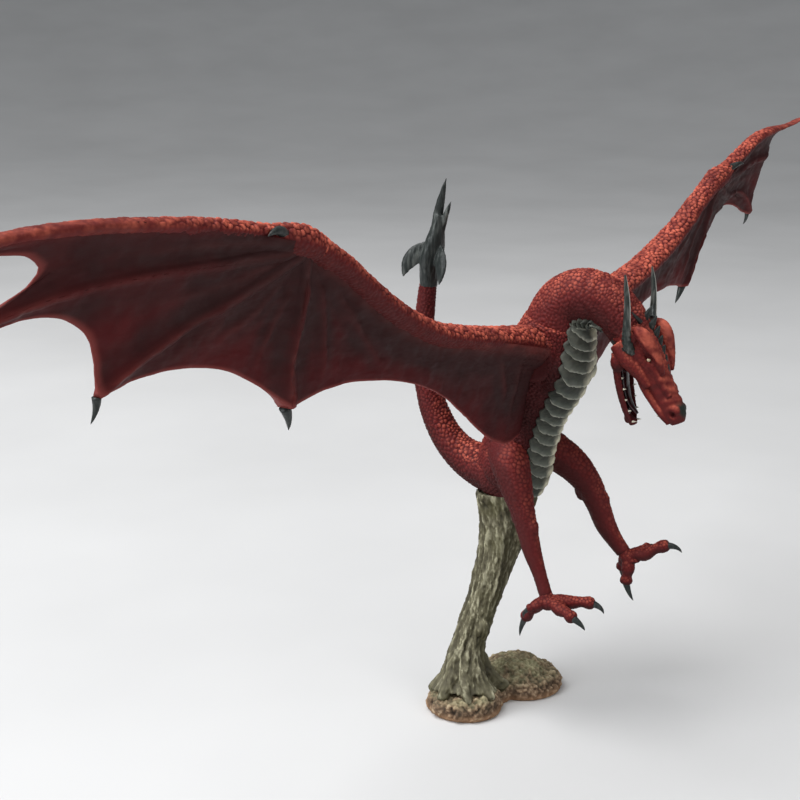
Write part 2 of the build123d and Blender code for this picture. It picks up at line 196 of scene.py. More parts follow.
def shell(front, back, rows, cols, turned=False):
    """Closed sheet between a front and a back grid. turned changes the side that is outside."""
    n = rows * cols
    faces = []
    for a in (r * cols + c for r in range(rows - 1) for c in range(cols - 1)):
        b, d, e = a + 1, a + cols + 1, a + cols
        near, far = (a, b, d, e), (n + e, n + d, n + b, n + a)
        if turned:
            near, far = (a, e, d, b), (n + a, n + b, n + d, n + e)
        faces += [near, far]
    border = [r * cols for r in range(rows)] + [(rows - 1) * cols + c for c in range(1, cols)]
    border += [r * cols + cols - 1 for r in range(rows - 2, -1, -1)]
    border += list(range(cols - 2, 0, -1))
    for a, b in zip(border, border[1:] + border[:1]):
        faces.append((a, n + a, n + b, b) if turned else (a, b, n + b, n + a))
    return Shape(np.concatenate([front, back]), faces)


def ball(centre, radii, sides=24):
    """Ellipsoid."""
    x, y, z = centre
    a, b, c = radii
    rows = []
    for t in np.linspace(-1, 1, 14) * math.pi / 2:
        width, depth = (max(r * math.cos(t), 0.02) for r in (a, b))
        rows.append((x, y, z + c * math.sin(t), width, depth))
    return tube(rows, sides, 24)


def bent(base, tip, bend, profile):
    """Stations from base to tip by (share, width, depth), with the middle moved by bend."""
    a, b, c = (np.array(v, float) for v in (base, tip, bend))
    return [(*(a + (b - a) * t + c * 4 * t * (1 - t)), w, d) for t, w, d in profile]


def spike(base, tip, radius, bend=(0, 0, 0), sides=12, flat=1, blunt=0.12):
    """Curved pointed cone from base to tip. flat squeezes it."""
    radii = [(t, radius * ((1 - t) ** 0.8 + blunt * t)) for t in np.linspace(0, 1, 6)]
    return tube(bent(base, tip, bend, [(t, r, r * flat) for t, r in radii]), sides, 18)


def leaf(base, tip, width, thick, bend, across):
    """Flat pointed blade from base to tip, widest before its middle."""
    outline = (0, 0.75), (0.2, 0.95), (0.4, 1), (0.6, 0.88), (0.8, 0.58), (0.93, 0.26), (1, 0.06)
    rows = bent(base, tip, bend, [(t, width * w, thick * w**0.7) for t, w in outline])
    return tube(rows, 20, 30, across)


def add_object(name, data):
    obj = bpy.data.objects.new(name, data)
    bpy.context.scene.collection.objects.link(obj)
    return obj


def fuse(shapes, voxel, turns=4):
    """One closed skin round overlapping shapes."""
    raw = join(*shapes)
    mesh = bpy.data.meshes.new("raw")
    mesh.from_pydata([tuple(p) for p in raw.points], [], raw.faces)
    obj = add_object("raw", mesh)
    remesh = obj.modifiers.new("skin", "REMESH")
    remesh.mode = "VOXEL"
    remesh.voxel_size = voxel
    made = obj.evaluated_get(bpy.context.evaluated_depsgraph_get()).to_mesh()
    points = np.empty(len(made.vertices) * 3)
    made.vertices.foreach_get("co", points)
    out = Shape(points.reshape(-1, 3), [tuple(f.vertices) for f in made.polygons])
    bpy.data.objects.remove(obj)
    bpy.data.meshes.remove(mesh)
    out.soften(turns)
    return out


# ---- scales --------------------------------------------------------------------------------
def scatter(points, spacing, seed):
    """Picks points at least their own spacing apart from those tried in a seeded random order."""
    order = list(range(len(points)))
    random.Random(seed).shuffle(order)
    size = float(np.max(spacing))
    cells, chosen = {}, []
    for i in order[: int(len(order) * 0.6)]:
        p = points[i]
        x, y, z = (p // size).astype(int)
        limit = spacing[i] ** 2
        near = (q for u, v, w in CELLS_AROUND for q in cells.get((x + u, y + v, z + w), ()))
        if all((p[0] - q[0]) ** 2 + (p[1] - q[1]) ** 2 + (p[2] - q[2]) ** 2 >= limit for q in near):
            cells.setdefault((x, y, z), []).append(p)
            chosen.append(i)
    return chosen


def add_scales(shape, spacing, depth, seed, lean=(0, 0, -1), amount=1):
    """Raises pebbly scales that overlap along lean, and paints height, tone and sky."""
    points = shape.points
    spacing = spacing * (1 + 0.28 * rough(points, 3, 2, 0.7 * seed))
    chosen = scatter(points, spacing, seed)
    tree = KDTree(len(chosen))
    for k, i in enumerate(chosen):
        tree.insert(points[i], k)
    tree.balance()
    rng = random.Random(seed + 1)
    tones = np.array([rng.random() for _ in chosen])
    found = [tree.find_n(p, 2) for p in points]
    first = np.array([f[0][1] for f in found])
    near, far = (np.array([f[k][2] for f in found]) for k in (0, 1))
    lean = np.array(lean, float) / np.linalg.norm(lean)
    wobble = 0.16 * rough(points, 1.1, 2, 0.5 + seed)
    groove = smooth((far - near) / spacing + wobble, 0, 0.40)
    dome = 1 - unit(near / (0.72 * spacing)) ** 2 + wobble
    tilt = np.clip(((points - points[np.array(chosen)[first]]) @ lean) / spacing, -0.6, 0.6)
    height = groove * (0.50 + 0.35 * dome + 0.35 * tilt)
    shape.paint["sky"] = shape.sky()
    shape.push((height - 0.35) * depth * amount)
    shape.paint["height"] = unit(height) * amount + 0.45 * (1 - amount)
    shape.paint["tone"] = tones[first]


def plain_paint(shape, height=0.5):
    """The same painted numbers for a shape without scales."""
    n = len(shape.points)
    shape.paint.setdefault("height", np.full(n, height))
    shape.paint["tone"] = np.full(n, 0.5)
    shape.paint["sky"] = shape.sky()
    return shape


def mottled(shape, height, share, size, seed):
    """A plain shape with noise in its painted height."""
    shape.paint["height"] = unit(height + share * rough(shape.points, size, 2, seed))
    return plain_paint(shape)


# ---- materials -----------------------------------------------------------------------------
class Paint:
    """A node material in the making."""

    def __init__(self, name, roughness=0.55, specular=0.35):
        self.material = bpy.data.materials.new(name)
        self.material.use_nodes = True
        self.tree = self.material.node_tree
        self.shader = self.tree.nodes["Principled BSDF"]
        self.fill(self.shader, {"Roughness": roughness, "Specular IOR Level": specular})
        self.coords = self.add("TexCoord").outputs["Object"]

    def fill(self, node, inputs):
        """Links each input that comes from a node, and sets the others."""
        for key, value in inputs.items():
            socket = node.inputs[key]
            if isinstance(value, bpy.types.NodeSocket):
                self.tree.links.new(value, socket)
            else:
                socket.default_value = (*value, 1) if socket.type == "RGBA" else value

    def add(self, kind, inputs=(), **settings):
        node = self.tree.nodes.new("ShaderNode" + kind)
        for key, value in settings.items():
            setattr(node, key, value)
        self.fill(node, dict(inputs))
        return node

    def number(self, name):
        return self.add("Attribute", attribute_name=name).outputs["Fac"]

    def noise(self, size, detail=4, stretch=(1, 1, 1)):
        """Noise from 0 to 1 with features about size millimetres across."""
        place = self.add("Mapping", {"Vector": self.coords, "Scale": stretch}).outputs["Vector"]
        inputs = {"Vector": place, "Scale": 1 / (size * MM), "Detail": detail}
        return self.add("TexNoise", inputs).outputs["Fac"]

    def ramp(self, value, *stops):
        """Changes a number into a colour or grey by (place, colour) stops."""
        node = self.add("ValToRGB", {"Fac": value})
        items = node.color_ramp.elements
        while len(items) < len(stops):
            items.new(0.5)
        for item, (place, colour) in zip(items, stops):
            item.position = place
            item.color = (*(colour if isinstance(colour, tuple) else [colour] * 3), 1)
        return node.outputs["Color"]

    def mix(self, share, a, b):
        return self.add("Mix", {0: share, 6: a, 7: b}, data_type="RGBA").outputs[2]

    def maths(self, kind, a, b, clamp=False):
        return self.add("Math", {0: a, 1: b}, operation=kind, use_clamp=clamp).outputs[0]

    def times(self, a, b, clamp=False):
        return self.maths("MULTIPLY", a, b, clamp)

    def bump(self, height, distance, strength=1):
        """Fine relief, distance millimetres deep. Several calls stack."""
        inputs = {"Strength": strength, "Distance": distance * MM, "Height": height}
        before = self.shader.inputs["Normal"].links
        if before:
            inputs["Normal"] = before[0].from_socket
        self.fill(self.shader, {"Normal": self.add("Bump", inputs).outputs["Normal"]})

    def finish(self, colour, **others):
        self.fill(self.shader, {"Base Color": colour, **others})
        return self.material


def hide_paint():
    """Red scales: dark wash in the grooves, red, then orange on the raised scales that face up, as
    dry-brushing and a painted highlight from above, and painted shade on what faces down.
    """
    p = Paint("hide", specular=0.16)
    height, sky = p.number("height"), p.number("sky")
    dull, underside_shade = (0.105, 0.010, 0.010), (0.022, 0.006, 0.006)
    base = p.ramp(height, (0, (0.032, 0.004, 0.004)), (0.22, (0.080, 0.007, 0.007)),
                  (0.55, (0.125, 0.011, 0.011)), (0.90, (0.175, 0.018, 0.015)))
    base = p.mix(p.ramp(p.noise(3.6, 5), (0.42, 0), (0.60, 0.70)), base, dull)
    tinted = p.mix(p.times(p.number("tone"), 0.45), base, (0.085, 0.010, 0.011))
    edge = p.ramp(height, (0.30, 0), (0.85, 1))
    # Orange on the raised scales where they face up: dry-brushing and a painted highlight from
    # above.
    light = p.times(edge, p.ramp(sky, (0.45, 0.04), (0.92, 1)))
    light = p.times(light, p.ramp(p.noise(2.2, 5), (0.38, 0.15), (0.62, 1)), clamp=True)
    lit = p.mix(light, tinted, (0.62, 0.140, 0.085))
    # Painted shade: what faces down is darkened almost fully.
    underside_shaded = p.mix(p.ramp(sky, (0, 0.75), (0.42, 0)), lit, underside_shade)
    patch = p.ramp(p.noise(9, 3), (0.40, 0), (0.68, 0.55))
    patched = p.mix(patch, underside_shaded, (0.075, 0.010, 0.011))
    p.bump(p.noise(0.35, 6), 0.05, 0.5)
    p.bump(p.noise(0.9), 0.06, 0.4)
    colour = p.mix(p.number("dark"), patched, (0.022, 0.026, 0.022))
    return p.finish(colour, Roughness=p.ramp(p.noise(1.6), (0.3, 0.50), (0.7, 0.72)))


def skin_paint():
    """Wing skin: dark along the bones and folds, partly glazing and partly painted shadow beside
    them, red near the trailing edge, light ridges and rim.
    """
    p = Paint("wing skin", specular=0.12)
    streak = p.noise(3, 5, (0.35, 1, 1.6))
    cloud = p.ramp(p.noise(14), (0.35, 0), (0.7, 1))
    red = p.mix(cloud, (0.082, 0.006, 0.007), (0.045, 0.004, 0.005))
    change = p.times(p.maths("SUBTRACT", streak, 0.5), 0.45)
    # Painted shadow beside the bones and folds with darker glazing, streaked.
    dark = p.times(p.maths("ADD", p.number("glaze"), change, clamp=True), 0.85)
    glazed_and_shaded = p.mix(dark, red, (0.024, 0.010, 0.010))
    ridge = p.times(p.number("ridge"), p.ramp(streak, (0.3, 0.15), (0.65, 0.80)))
    lined = p.mix(ridge, glazed_and_shaded, (0.20, 0.036, 0.030))
    p.bump(p.noise(0.8, 5), 0.06, 0.5)
    p.bump(streak, 0.25, 0.35)
    colour = p.mix(p.times(p.number("rim"), 0.70), lined, (0.24, 0.050, 0.044))
    return p.finish(colour, Roughness=p.ramp(p.noise(2.5), (0.3, 0.50), (0.7, 0.72)))


def plate_paint():
    """Grey-green belly plates: painted shadow under the lip of the plate above, pale along their
    raised lower edges, a painted rim highlight in pale buff on one side, and a little paler on what
    faces up.
    """
    p = Paint("belly plate", specular=0.18)
    height = p.number("height")
    grain = p.noise(1.1, 5, (0.5, 1, 1.5))
    base = p.ramp(height, (0.05, (0.006, 0.006, 0.005)), (0.30, (0.030, 0.038, 0.032)),
                  (0.62, (0.115, 0.128, 0.108)), (0.95, (0.48, 0.48, 0.40)))
    warm = p.mix(p.ramp(grain, (0.4, 0), (0.7, 0.4)), base, (0.082, 0.088, 0.062))
    # Painted rim highlight: pale buff on one side of the plates, on their raised part.
    pale = p.times(p.number("tone"), p.ramp(height, (0.12, 0.25), (0.40, 0.95)))
    rim_lit = p.mix(pale, warm, (0.78, 0.74, 0.56))
    # Painted highlight from above: a little paler on what faces up.
    lit = p.mix(p.times(p.number("sky"), 0.20), rim_lit, (0.34, 0.34, 0.29))
    p.bump(grain, 0.12, 0.5)
    p.bump(p.noise(0.35, 5), 0.05, 0.5)
    return p.finish(lit, Roughness=p.ramp(grain, (0.3, 0.48), (0.7, 0.65)))


def horn_paint(name, dark, pale, share):
    """Dark horn with pale streaks that follow its length, and pale where the painted height is
    high: on the horns that is a painted highlight down the side towards the front.
    """
    p = Paint(name, roughness=0.4, specular=0.3)
    streak = p.noise(0.7, 5, (1, 1, 0.18))
    tone = p.mix(p.times(p.ramp(streak, (0.48, 0), (0.68, 1)), share), dark, pale)
    # Pale where the painted height is high: a painted highlight on the horns, random marks on claws
    # and thorns.
    lit = p.mix(p.ramp(p.number("height"), (0.60, 0), (1, 0.9)), tone, pale)
    p.bump(streak, 0.12, 0.6)
    return p.finish(lit, Roughness=p.ramp(p.noise(1), (0.3, 0.30), (0.7, 0.5)))


def bark_paint():
    """Dead wood: olive-brown grooves and pale dry-brushed grain."""
    p = Paint("bark", roughness=0.7, specular=0.2)
    grain = p.noise(1.6, 6, (1.3, 1.3, 0.12))
    base = p.ramp(p.number("height"), (0.15, (0.022, 0.018, 0.009)), (0.45, (0.065, 0.057, 0.030)),
                  (0.70, (0.130, 0.118, 0.070)), (0.98, (0.40, 0.38, 0.26)))
    streaked = p.mix(p.ramp(grain, (0.42, 0), (0.66, 0.65)), base, (0.036, 0.029, 0.014))
    moss = p.ramp(p.noise(7), (0.50, 0), (0.66, 0.45))
    green = p.mix(moss, streaked, (0.080, 0.074, 0.030))
    p.bump(grain, 0.30, 0.7)
    p.bump(p.noise(0.5, 5), 0.08, 0.5)
    # A little paler on what faces up: dry-brushing and a painted highlight from above.
    return p.finish(p.mix(p.times(p.number("sky"), 0.10), green, (0.5, 0.48, 0.36)))


def rock_paint():
    """Ground: brown grit that turns green on top and pale at the rim."""
    p = Paint("rock", roughness=0.82, specular=0.18)
    grit = p.noise(0.9, 6)
    base = p.ramp(p.number("height"), (0.05, (0.018, 0.012, 0.008)), (0.35, (0.090, 0.055, 0.034)),
                  (0.65, (0.24, 0.155, 0.095)), (0.95, (0.46, 0.35, 0.23)))
    toned = p.mix(p.times(p.number("tone"), 0.35), base, (0.16, 0.12, 0.085))
    moss = p.times(p.number("sky"), p.ramp(p.noise(5), (0.36, 0.15), (0.56, 1)), clamp=True)
    tuft = p.ramp(grit, (0.3, (0.12, 0.12, 0.055)), (0.7, (0.48, 0.47, 0.29)))
    green = p.mix(p.times(moss, 0.8), toned, tuft)
    p.bump(grit, 0.35, 0.9)
    p.bump(p.noise(0.3), 0.10, 0.6)
    return p.finish(p.mix(p.times(p.number("low"), 0.55), green, (0.42, 0.24, 0.13)))


def gloss_paint(name, dark, light, roughness):
    """Varnished paint with a soft change of tone."""
    p = Paint(name, roughness, 0.5)
    p.fill(p.shader, {"Coat Weight": 0.4, "Coat Roughness": 0.12})
    p.bump(p.noise(0.6), 0.05, 0.5)
    return p.finish(p.mix(p.ramp(p.noise(1.2), (0.35, 0), (0.7, 1)), dark, light))


def metal_paint(name, colour, roughness):
    """Drawn rod with lengthwise scratches."""
    p = Paint(name, roughness)
    lines = p.noise(0.25, 4, (1, 1, 0.06))
    p.bump(lines, 0.02, 0.6)
    tone = p.mix(p.ramp(lines, (0.3, 0), (0.7, 1)), colour, tuple(c * 0.72 for c in colour))
    scratched = p.ramp(lines, (0.3, roughness), (0.7, roughness + 0.18))
    return p.finish(tone, Metallic=1, Roughness=scratched)


HIDE, SKIN, PLATE = hide_paint(), skin_paint(), plate_paint()
BARK, ROCK = bark_paint(), rock_paint()
HORN = horn_paint("horn", (0.020, 0.026, 0.023), (0.50, 0.50, 0.46), 0.20)
CLAW = horn_paint("claw", (0.014, 0.018, 0.017), (0.13, 0.14, 0.13), 0.25)
TOOTH = gloss_paint("tooth", (0.55, 0.49, 0.36), (0.78, 0.74, 0.62), 0.3)
MOUTH = gloss_paint("mouth", (0.010, 0.003, 0.004), (0.050, 0.006, 0.008), 0.15)
EYE = gloss_paint("eye", (0.50, 0.36, 0.20), (0.72, 0.60, 0.42), 0.12)
STEEL = metal_paint("steel", (0.56, 0.57, 0.58), 0.28)
BRASS = metal_paint("brass", (0.80, 0.58, 0.28), 0.30)


def smooth_mesh(name, points, faces, material):
    mesh = bpy.data.meshes.new(name)
    mesh.from_pydata(points, [], faces)
    mesh.validate()
    mesh.polygons.foreach_set("use_smooth", [True] * len(mesh.polygons))
    mesh.materials.append(material)
    return add_object(name, mesh)


def place(name, shape, body, slot, material, *replaces):
    """Makes the piece, rides it on its body and hides the CAD nodes that it replaces. The record
    slot is not used.
    """
    obj = smooth_mesh(name, [tuple(p * MM) for p in shape.points], shape.faces, material)
    for key, values in shape.paint.items():
        attribute = obj.data.attributes.new(key, "FLOAT", "POINT")
        attribute.data.foreach_set("value", values.astype(np.float32))
    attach(obj, body)
    if replaces:
        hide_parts(*replaces)


# ---- ground plate and trunk ----------------------------------------------------------------
def ground():
    """Two-lobed rocky plate with a mound, all gravel and moss."""
    parts = []
    for x, y, a, b, top in ((-18, 1, 9.4, 9.8, 5.2), (2.5, -4.5, 11, 11.2, 4.4)):
        outline = ((0, 0.97), (0.8, 1), (2.4, 0.99), (top - 1.4, 0.94), (top - 0.4, 0.84),
                   (top, 0.70))
        parts.append(tube([(x, y, z, a * k, b * k) for z, k in outline], 64, 24))
    bridge = [(-8.5, -1, 0, 7.5, 6), (-8.5, -1, 2.2, 7.5, 6), (-8.5, -1, 4.3, 6, 4.8)]
    parts += [tube(bridge, 40, 12), ball((1.5, -3, 2), (9.4, 9.2, 6.6))]
    parts.append(ball((-13, 4.5, 3), (5.5, 4.5, 3.6)))
    rng = random.Random(11)
    for _ in range(26):
        turn = rng.uniform(0, math.tau)
        x, y, a = rng.choice(((-18, 1, 8.6), (2.5, -4.5, 10.2)))
        r = rng.uniform(0.75, 1.6)
        stone = (x + a * math.cos(turn), y + a * math.sin(turn), rng.uniform(1.2, 3.4))
        parts.append(ball(stone, (r, r * 1.2, r * 0.8), 12))
    shape = fuse(parts, FINE + 0.03, 2)
    body, paint = shape.points.copy(), shape.paint
    grit, fine = rough(body, 1.3, 3, 9.4), rough(body, 0.7, 2, 5.4)
    off_floor = smooth(body[:, 2], 0.15, 1)
    shape.push((0.60 * rough(body, 4.5, 3, 3.1) + 0.42 * grit + 0.22 * fine) * off_floor)
    add_scales(shape, 1.1, 0.18, 21, (0, 0, 1), off_floor)
    z = shape.points[:, 2]
    paint["height"] = unit(paint["height"] * 0.30 + 0.34 + 0.60 * grit + 0.35 * fine)
    paint["low"] = 1 - smooth(z, 0.3, 2.6)
    paint["sky"] = smooth(z, 2.5, 6.5) * paint["sky"]
    shape.points[:, 2] = np.maximum(z, 0)
    return shape


# Stations of tubes here and below are x, y, z, half width and half depth.
TRUNK = [
    (-16.4, 2.4, 4.6, 8.6, 8.2), (-15.8, 2.6, 7.5, 6.2, 6), (-14.4, 2.6, 13.5, 4.7, 4.6),
    (-10.9, 1.2, 24, 3.9, 4), (-7, -0.4, 34, 4.4, 4.6), (-3.6, -0.9, 43, 5.4, 5.6),
    (-1.2, -0.2, 50.5, 6.6, 6.9), (-0.2, 0.2, TRUNK_TOP - 0.3, 7.5, 7.9),
]
# Foot of each root and its thickness.
ROOTS = [
    ((-26, 3.5), 1.9), ((-24, -3.5), 1.7), ((-18.5, -7.2), 2), ((-9.8, -6.4), 2.1),
    ((-6.5, 3), 1.7), ((-13.5, 10), 1.9), ((-21.5, 9), 1.7),
]


def ribbed(s, turn):
    """Swells the trunk's outline into a few twisting ribs."""
    waves = ((0.055, 3, 5, 0), (0.045, 5, -7, 1), (0.03, 8, 4, 0))
    return 1 + sum(size * np.sin(n * turn + twist * s + start) for size, n, twist, start in waves)


def trunk():
    """Leaning dead trunk with gripping roots, deep grain and a broken rim."""
    parts = [tube(TRUNK, 72, 90, bulge=ribbed)]
    for (x, y), r in ROOTS:
        turn, reach = math.atan2(y - 2.5, x + 16), 0.55 * math.hypot(x + 16, y - 2.5)
        start = (-15.2 + 2.2 * math.cos(turn), 2.8 + 2.2 * math.sin(turn), 15)
        knee = (-16 + reach * math.cos(turn), 2.5 + reach * math.sin(turn), 8.2)
        rows = [(*start, r * 1.1, r * 1.1), (*knee, r, r), (x, y, 4.4, r * 0.65, r * 0.6)]
        parts.append(tube(rows, 16, 24, (0.3, 0.2, 1)))
    parts += [ball((-14.2, -2.2, 21), (2.2, 1.6, 2.6)), ball((-2.5, -6.2, 44), (2, 1.6, 2.2))]
    shape = fuse(parts, FINE + 0.03, 2)
    p = shape.points
    axis = curve(TRUNK, 60)
    cx, cy = (np.interp(p[:, 2], axis[:, 2], axis[:, k]) for k in (0, 1))
    turn = np.arctan2(p[:, 1] - cy, p[:, 0] - cx)
    turn = turn + 0.02 * p[:, 2]
    along = np.stack([np.cos(turn) * 6, np.sin(turn) * 6, p[:, 2] * 0.24], axis=1)
    grain = rough(along, 1.2, 4, 2)
    deep = np.clip(1 - np.abs(rough(along, 2.6, 3, 7.7)) * 2, -1, 1)
    fibre = rough(along, 0.5, 3, 5.5, (1, 1, 1.6))
    inside = smooth(np.hypot(p[:, 0], p[:, 1]), 1.6, 6.2)
    top = smooth(p[:, 2], TRUNK_TOP - 1.2, TRUNK_TOP - 0.5)
    shape.push((0.34 * grain + 0.30 * deep + 0.24 * fibre) * (1 - 0.8 * top))
    jag = rough(np.stack([np.cos(turn) * 4, np.sin(turn) * 4, 0 * turn], axis=1), 1.2, 3, 1.5)
    p[:, 2] += top * (0.9 * jag * inside - 1.6 * (1 - inside))
    rim = smooth(np.hypot(p[:, 0], p[:, 1]), 6.4, 7.4)
    p[:, 2] = np.minimum(p[:, 2], TRUNK_TOP - 0.05 + 0.9 * rim)
    height = unit(0.44 + 0.50 * grain + 0.22 * deep + 0.42 * fibre)
    # Painted light: one side of the trunk is paler, as its lit side.
    lit_side = smooth(np.cos(turn - 0.02 * p[:, 2] + 2.6), -0.2, 0.9)
    shape.paint["height"] = unit(height + 0.16 * lit_side - 0.10)
    shape.paint["sky"] = shape.sky(-0.3, 0.9)
    return shape


# ---- torso, neck, tail ---------------------------------------------------------------------
TORSO = [
    (0, -0.2, TRUNK_TOP + 0.3, 6.6, 6.9), (0, -0.8, 57.5, 7.9, 8.3), (0, -2, 62, 8.5, 9.2),
    (0, -4, 70, 7.6, 8.9), (0, -6.8, 79.5, 8.2, 9.3), (0, -10.6, 89.5, 9.8, 10.9),
    (0, -13.2, 97, 9.6, 9.8), (0, -14.5, 101.5, 8.7, 8.6),
]
NECK = [
    (0, -13.9, 96.5, 8.6, 8.9), (0, -14.4, 101.5, 8, 8.3), (0, -16.6, 106, 7.3, 7.5),
    (0, -21, 108.4, 6.7, 7), (0, -25.6, 108.2, 6.1, 6.3), (0, -30.2, 105.6, 5.6, 5.7),
    (0, -33.6, 101.4, 5.1, 5.2), (0, -35.4, 98.6, 4.8, 4.8),
]
TAIL = [
    (0, 2, 60, 7.2, 6.6), (0, 7.5, 60.8, 5.9, 5.7), (0, 12.5, 62.6, 4.8, 4.8),
    (0, 17.6, 66.8, 4.1, 4.1), (0, 21.6, 73.2, 3.7, 3.7), (0, 24, 80.5, 3.3, 3.3),
    (0, 25.4, 89, 2.9, 2.9), (0, 25.1, 98, 2.5, 2.5), (0, 24.1, 107.4, 2.2, 2.2),
]


def pocket(shape, inside, offset):
    """Sinks the points where inside is true by offset, which makes a socket with steep walls."""
    shape.points[inside] += np.array(offset)
    shape.paint["height"][inside] = 0


def torso():
    parts = [tube(TORSO, 56, 90)]
    for side in (-1, 1):
        root = (side * 4.5, SHOULDER[0] + 0.5, SHOULDER[1] - 1, 7, 7.4)
        pad = (side * (WING_ROOT - 0.2), SHOULDER[0], SHOULDER[1] - 1, 5.4, 5.8)
        parts += [tube([root, pad], 32, 20, (0, 1, 0)),
                  ball((side * 5.6, -16.9, 90.5), (4.5, 4.2, 6.2)),
                  ball((side * 5.6, -5.4, 93.5), (4.4, 4.2, 6.8)),
                  ball((side * 5.8, -3.2, 63.5), (4.4, 6, 6.4))]
    shape = fuse(parts, FINE, 6)
    p = shape.points
    spacing = 0.70 + 0.26 * smooth(p[:, 1] + 0.28 * (p[:, 2] - 60), 0, 9)
    calm = 1 - 0.9 * smooth(np.abs(p[:, 0]), WING_ROOT - 0.8, WING_ROOT - 0.4)
    calm *= smooth(p[:, 2], TRUNK_TOP + 0.2, TRUNK_TOP + 1.4) * 0.9 + 0.1
    add_scales(shape, spacing, 0.52, 31, (0, 0.15, -1), calm)
    limit = WING_ROOT - 0.25
    p[:, 0] = np.clip(p[:, 0], -limit, limit)
    p[:, 2] = np.maximum(p[:, 2], TRUNK_TOP + 0.12)
    key = (np.abs(p[:, 1] - SHOULDER[0]) < 1.8) & (np.abs(p[:, 2] - SHOULDER[1]) < 3)
    for side in (-1, 1):
        pocket(shape, key & (side * p[:, 0] > limit - 0.25), (-side * 6.2, 0, 0))
    bore = (p[:, 2] < TRUNK_TOP + 0.5) & (np.hypot(p[:, 0], p[:, 1]) < 1.25)
    pocket(shape, bore, (0, 0, 10.3))
    # Painted shade under the wings: on the sides of the body below the shoulders the scales get
    # less of the painted highlight and go darker.
    under_wing_shade = smooth(np.abs(p[:, 0]), 4.5, 6.8) * smooth(p[:, 2], 66, 74)
    under_wing_shade *= 1 - smooth(p[:, 2], 91, 99)
    shape.paint["sky"] *= 1 - under_wing_shade
    shape.paint["height"] *= 1 - 0.5 * under_wing_shade
    return shape


def neck():
    shape = fuse([tube(NECK, 48, 90)], FINE, 3)
    p = shape.points
    back = smooth(p[:, 2] + 0.25 * p[:, 1], 98, 108)
    add_scales(shape, 0.70 + 0.16 * back, 0.50, 41, (0, 0.8, 0.5), 0.72)
    ripple = np.sin(rough(p, 6, 2, 2) * 5 + (p[:, 1] - 0.5 * p[:, 2]) * 1.5)
    shape.push(0.16 * ripple * smooth(-p[:, 1], 18, 26))
    return shape


def tail():
    shape = fuse([tube(TAIL, 40, 110)], FINE, 3)
    low = 1 - smooth(shape.points[:, 2], 60, 100)
    add_scales(shape, 0.66 + 0.20 * low, 0.42, 51, (0, 0.5, 1))
    return shape


def plate(tree, path, low, high, half, k):
    """Curved plate that covers the part of the path from low to high, laid on by casting rays."""
    rows, cols = 9, 25
    sideways = np.array([1, 0, 0])
    tangent = directions(path[:, :3])
    outer, inner, rise, rim_lit = [], [], [], []
    along, aside = np.arange(rows) / (rows - 1), -1 + 2 * np.arange(cols) / (cols - 1)
    for t, w in itertools.product(along, aside):
        jag = 0.006 * math.sin(11 * w + 2.3 * k) * smooth(abs(w), 0.5, 1) * (1 - t)
        at = unit(low + (high - low) * t - 0.006 * (1 - abs(w)) + 0.026 * abs(w) ** 3 + jag)
        i = int(round(at * (len(path) - 1)))
        middle, depth = path[i, :3], path[i, 3]
        turn = half * w * (1 - 0.16 * abs(2 * t - 0.9))
        way = np.cross(sideways, tangent[i]) * math.cos(turn) + sideways * math.sin(turn)
        hit = tree.ray_cast(Vector(middle + way * (depth * 1.12 + 2.2)), Vector(-way), 6.6)[0]
        on = middle + way * depth if hit is None else np.array(hit)
        lip = 0.25 + 0.85 * (1 - t) ** 1.5 * (1 - 0.35 * abs(w) ** 4)
        outer.append(on + way * (lip + 0.25 * smooth(t, 0, 0.12)))
        inner.append(on - way * 0.5)
        # Painted shadow on the upper part of each plate, under the lip of the plate above, rising
        # to a pale lower lip.
        rise.append(0.10 + 0.46 * smooth(1 - t, 0.42, 0.95) + 0.34 * smooth(1 - t, 0.82))
        # Painted rim light: the share of the plate on its lit side.
        rim_lit.append(smooth(w, -0.18, 0.14))
    shape = shell(outer, inner, rows, cols)
    shape.paint = {"height": np.array(rise + [0] * len(rise)), "tone": np.array(rim_lit * 2),
                   "sky": shape.sky(-0.7, 0.6)}
    return shape


def belly_plates(hide, count=21):
    """Overlapping plates up the middle of the front, from the hips to the throat."""
    path = curve([(*r[:3], r[4]) for r in TORSO[1:-2] + NECK[1:6]], 200)
    tree = BVHTree.FromPolygons([tuple(p) for p in hide.points], hide.faces)
    ends = np.linspace(0, 1, count + 1) * 0.985
    parts = []
    for k in range(count):
        low, high = ends[k], min(ends[k + 1] + 0.020, 1)
        half = np.interp((low + high) / 2, [0, 0.25, 0.55, 0.8, 1], [44, 50, 52, 50, 34])
        parts.append(plate(tree, path, low, high, math.radians(half), k))
    return join(*parts)


# Collar and core of the tail tip.
STEM = [
    (0, 24, 107.1, 2.4, 2.3), (0, 23.8, 110, 3, 2.3), (0, 23.2, 114, 3.9, 2.5),
    (0, 22.2, 118, 3.4, 2.4), (0, 21.3, 122, 2.3, 1.8), (0, 20.6, 126, 1.3, 1),
]
# Tip, bend and broad direction of each barb.
BARBS = [
    ((-4.4, 29, 109.6), (-0.5, 1.4, 1.3), (0, 0.5, 0.9)),
    ((-3.6, 18.6, 108.2), (-0.6, -1.6, 1.2), (0, -0.6, 0.8)),
    ((5, 26.5, 110.4), (1.2, 0.8, 1.3), (0.6, 0.3, 0.8)),
]


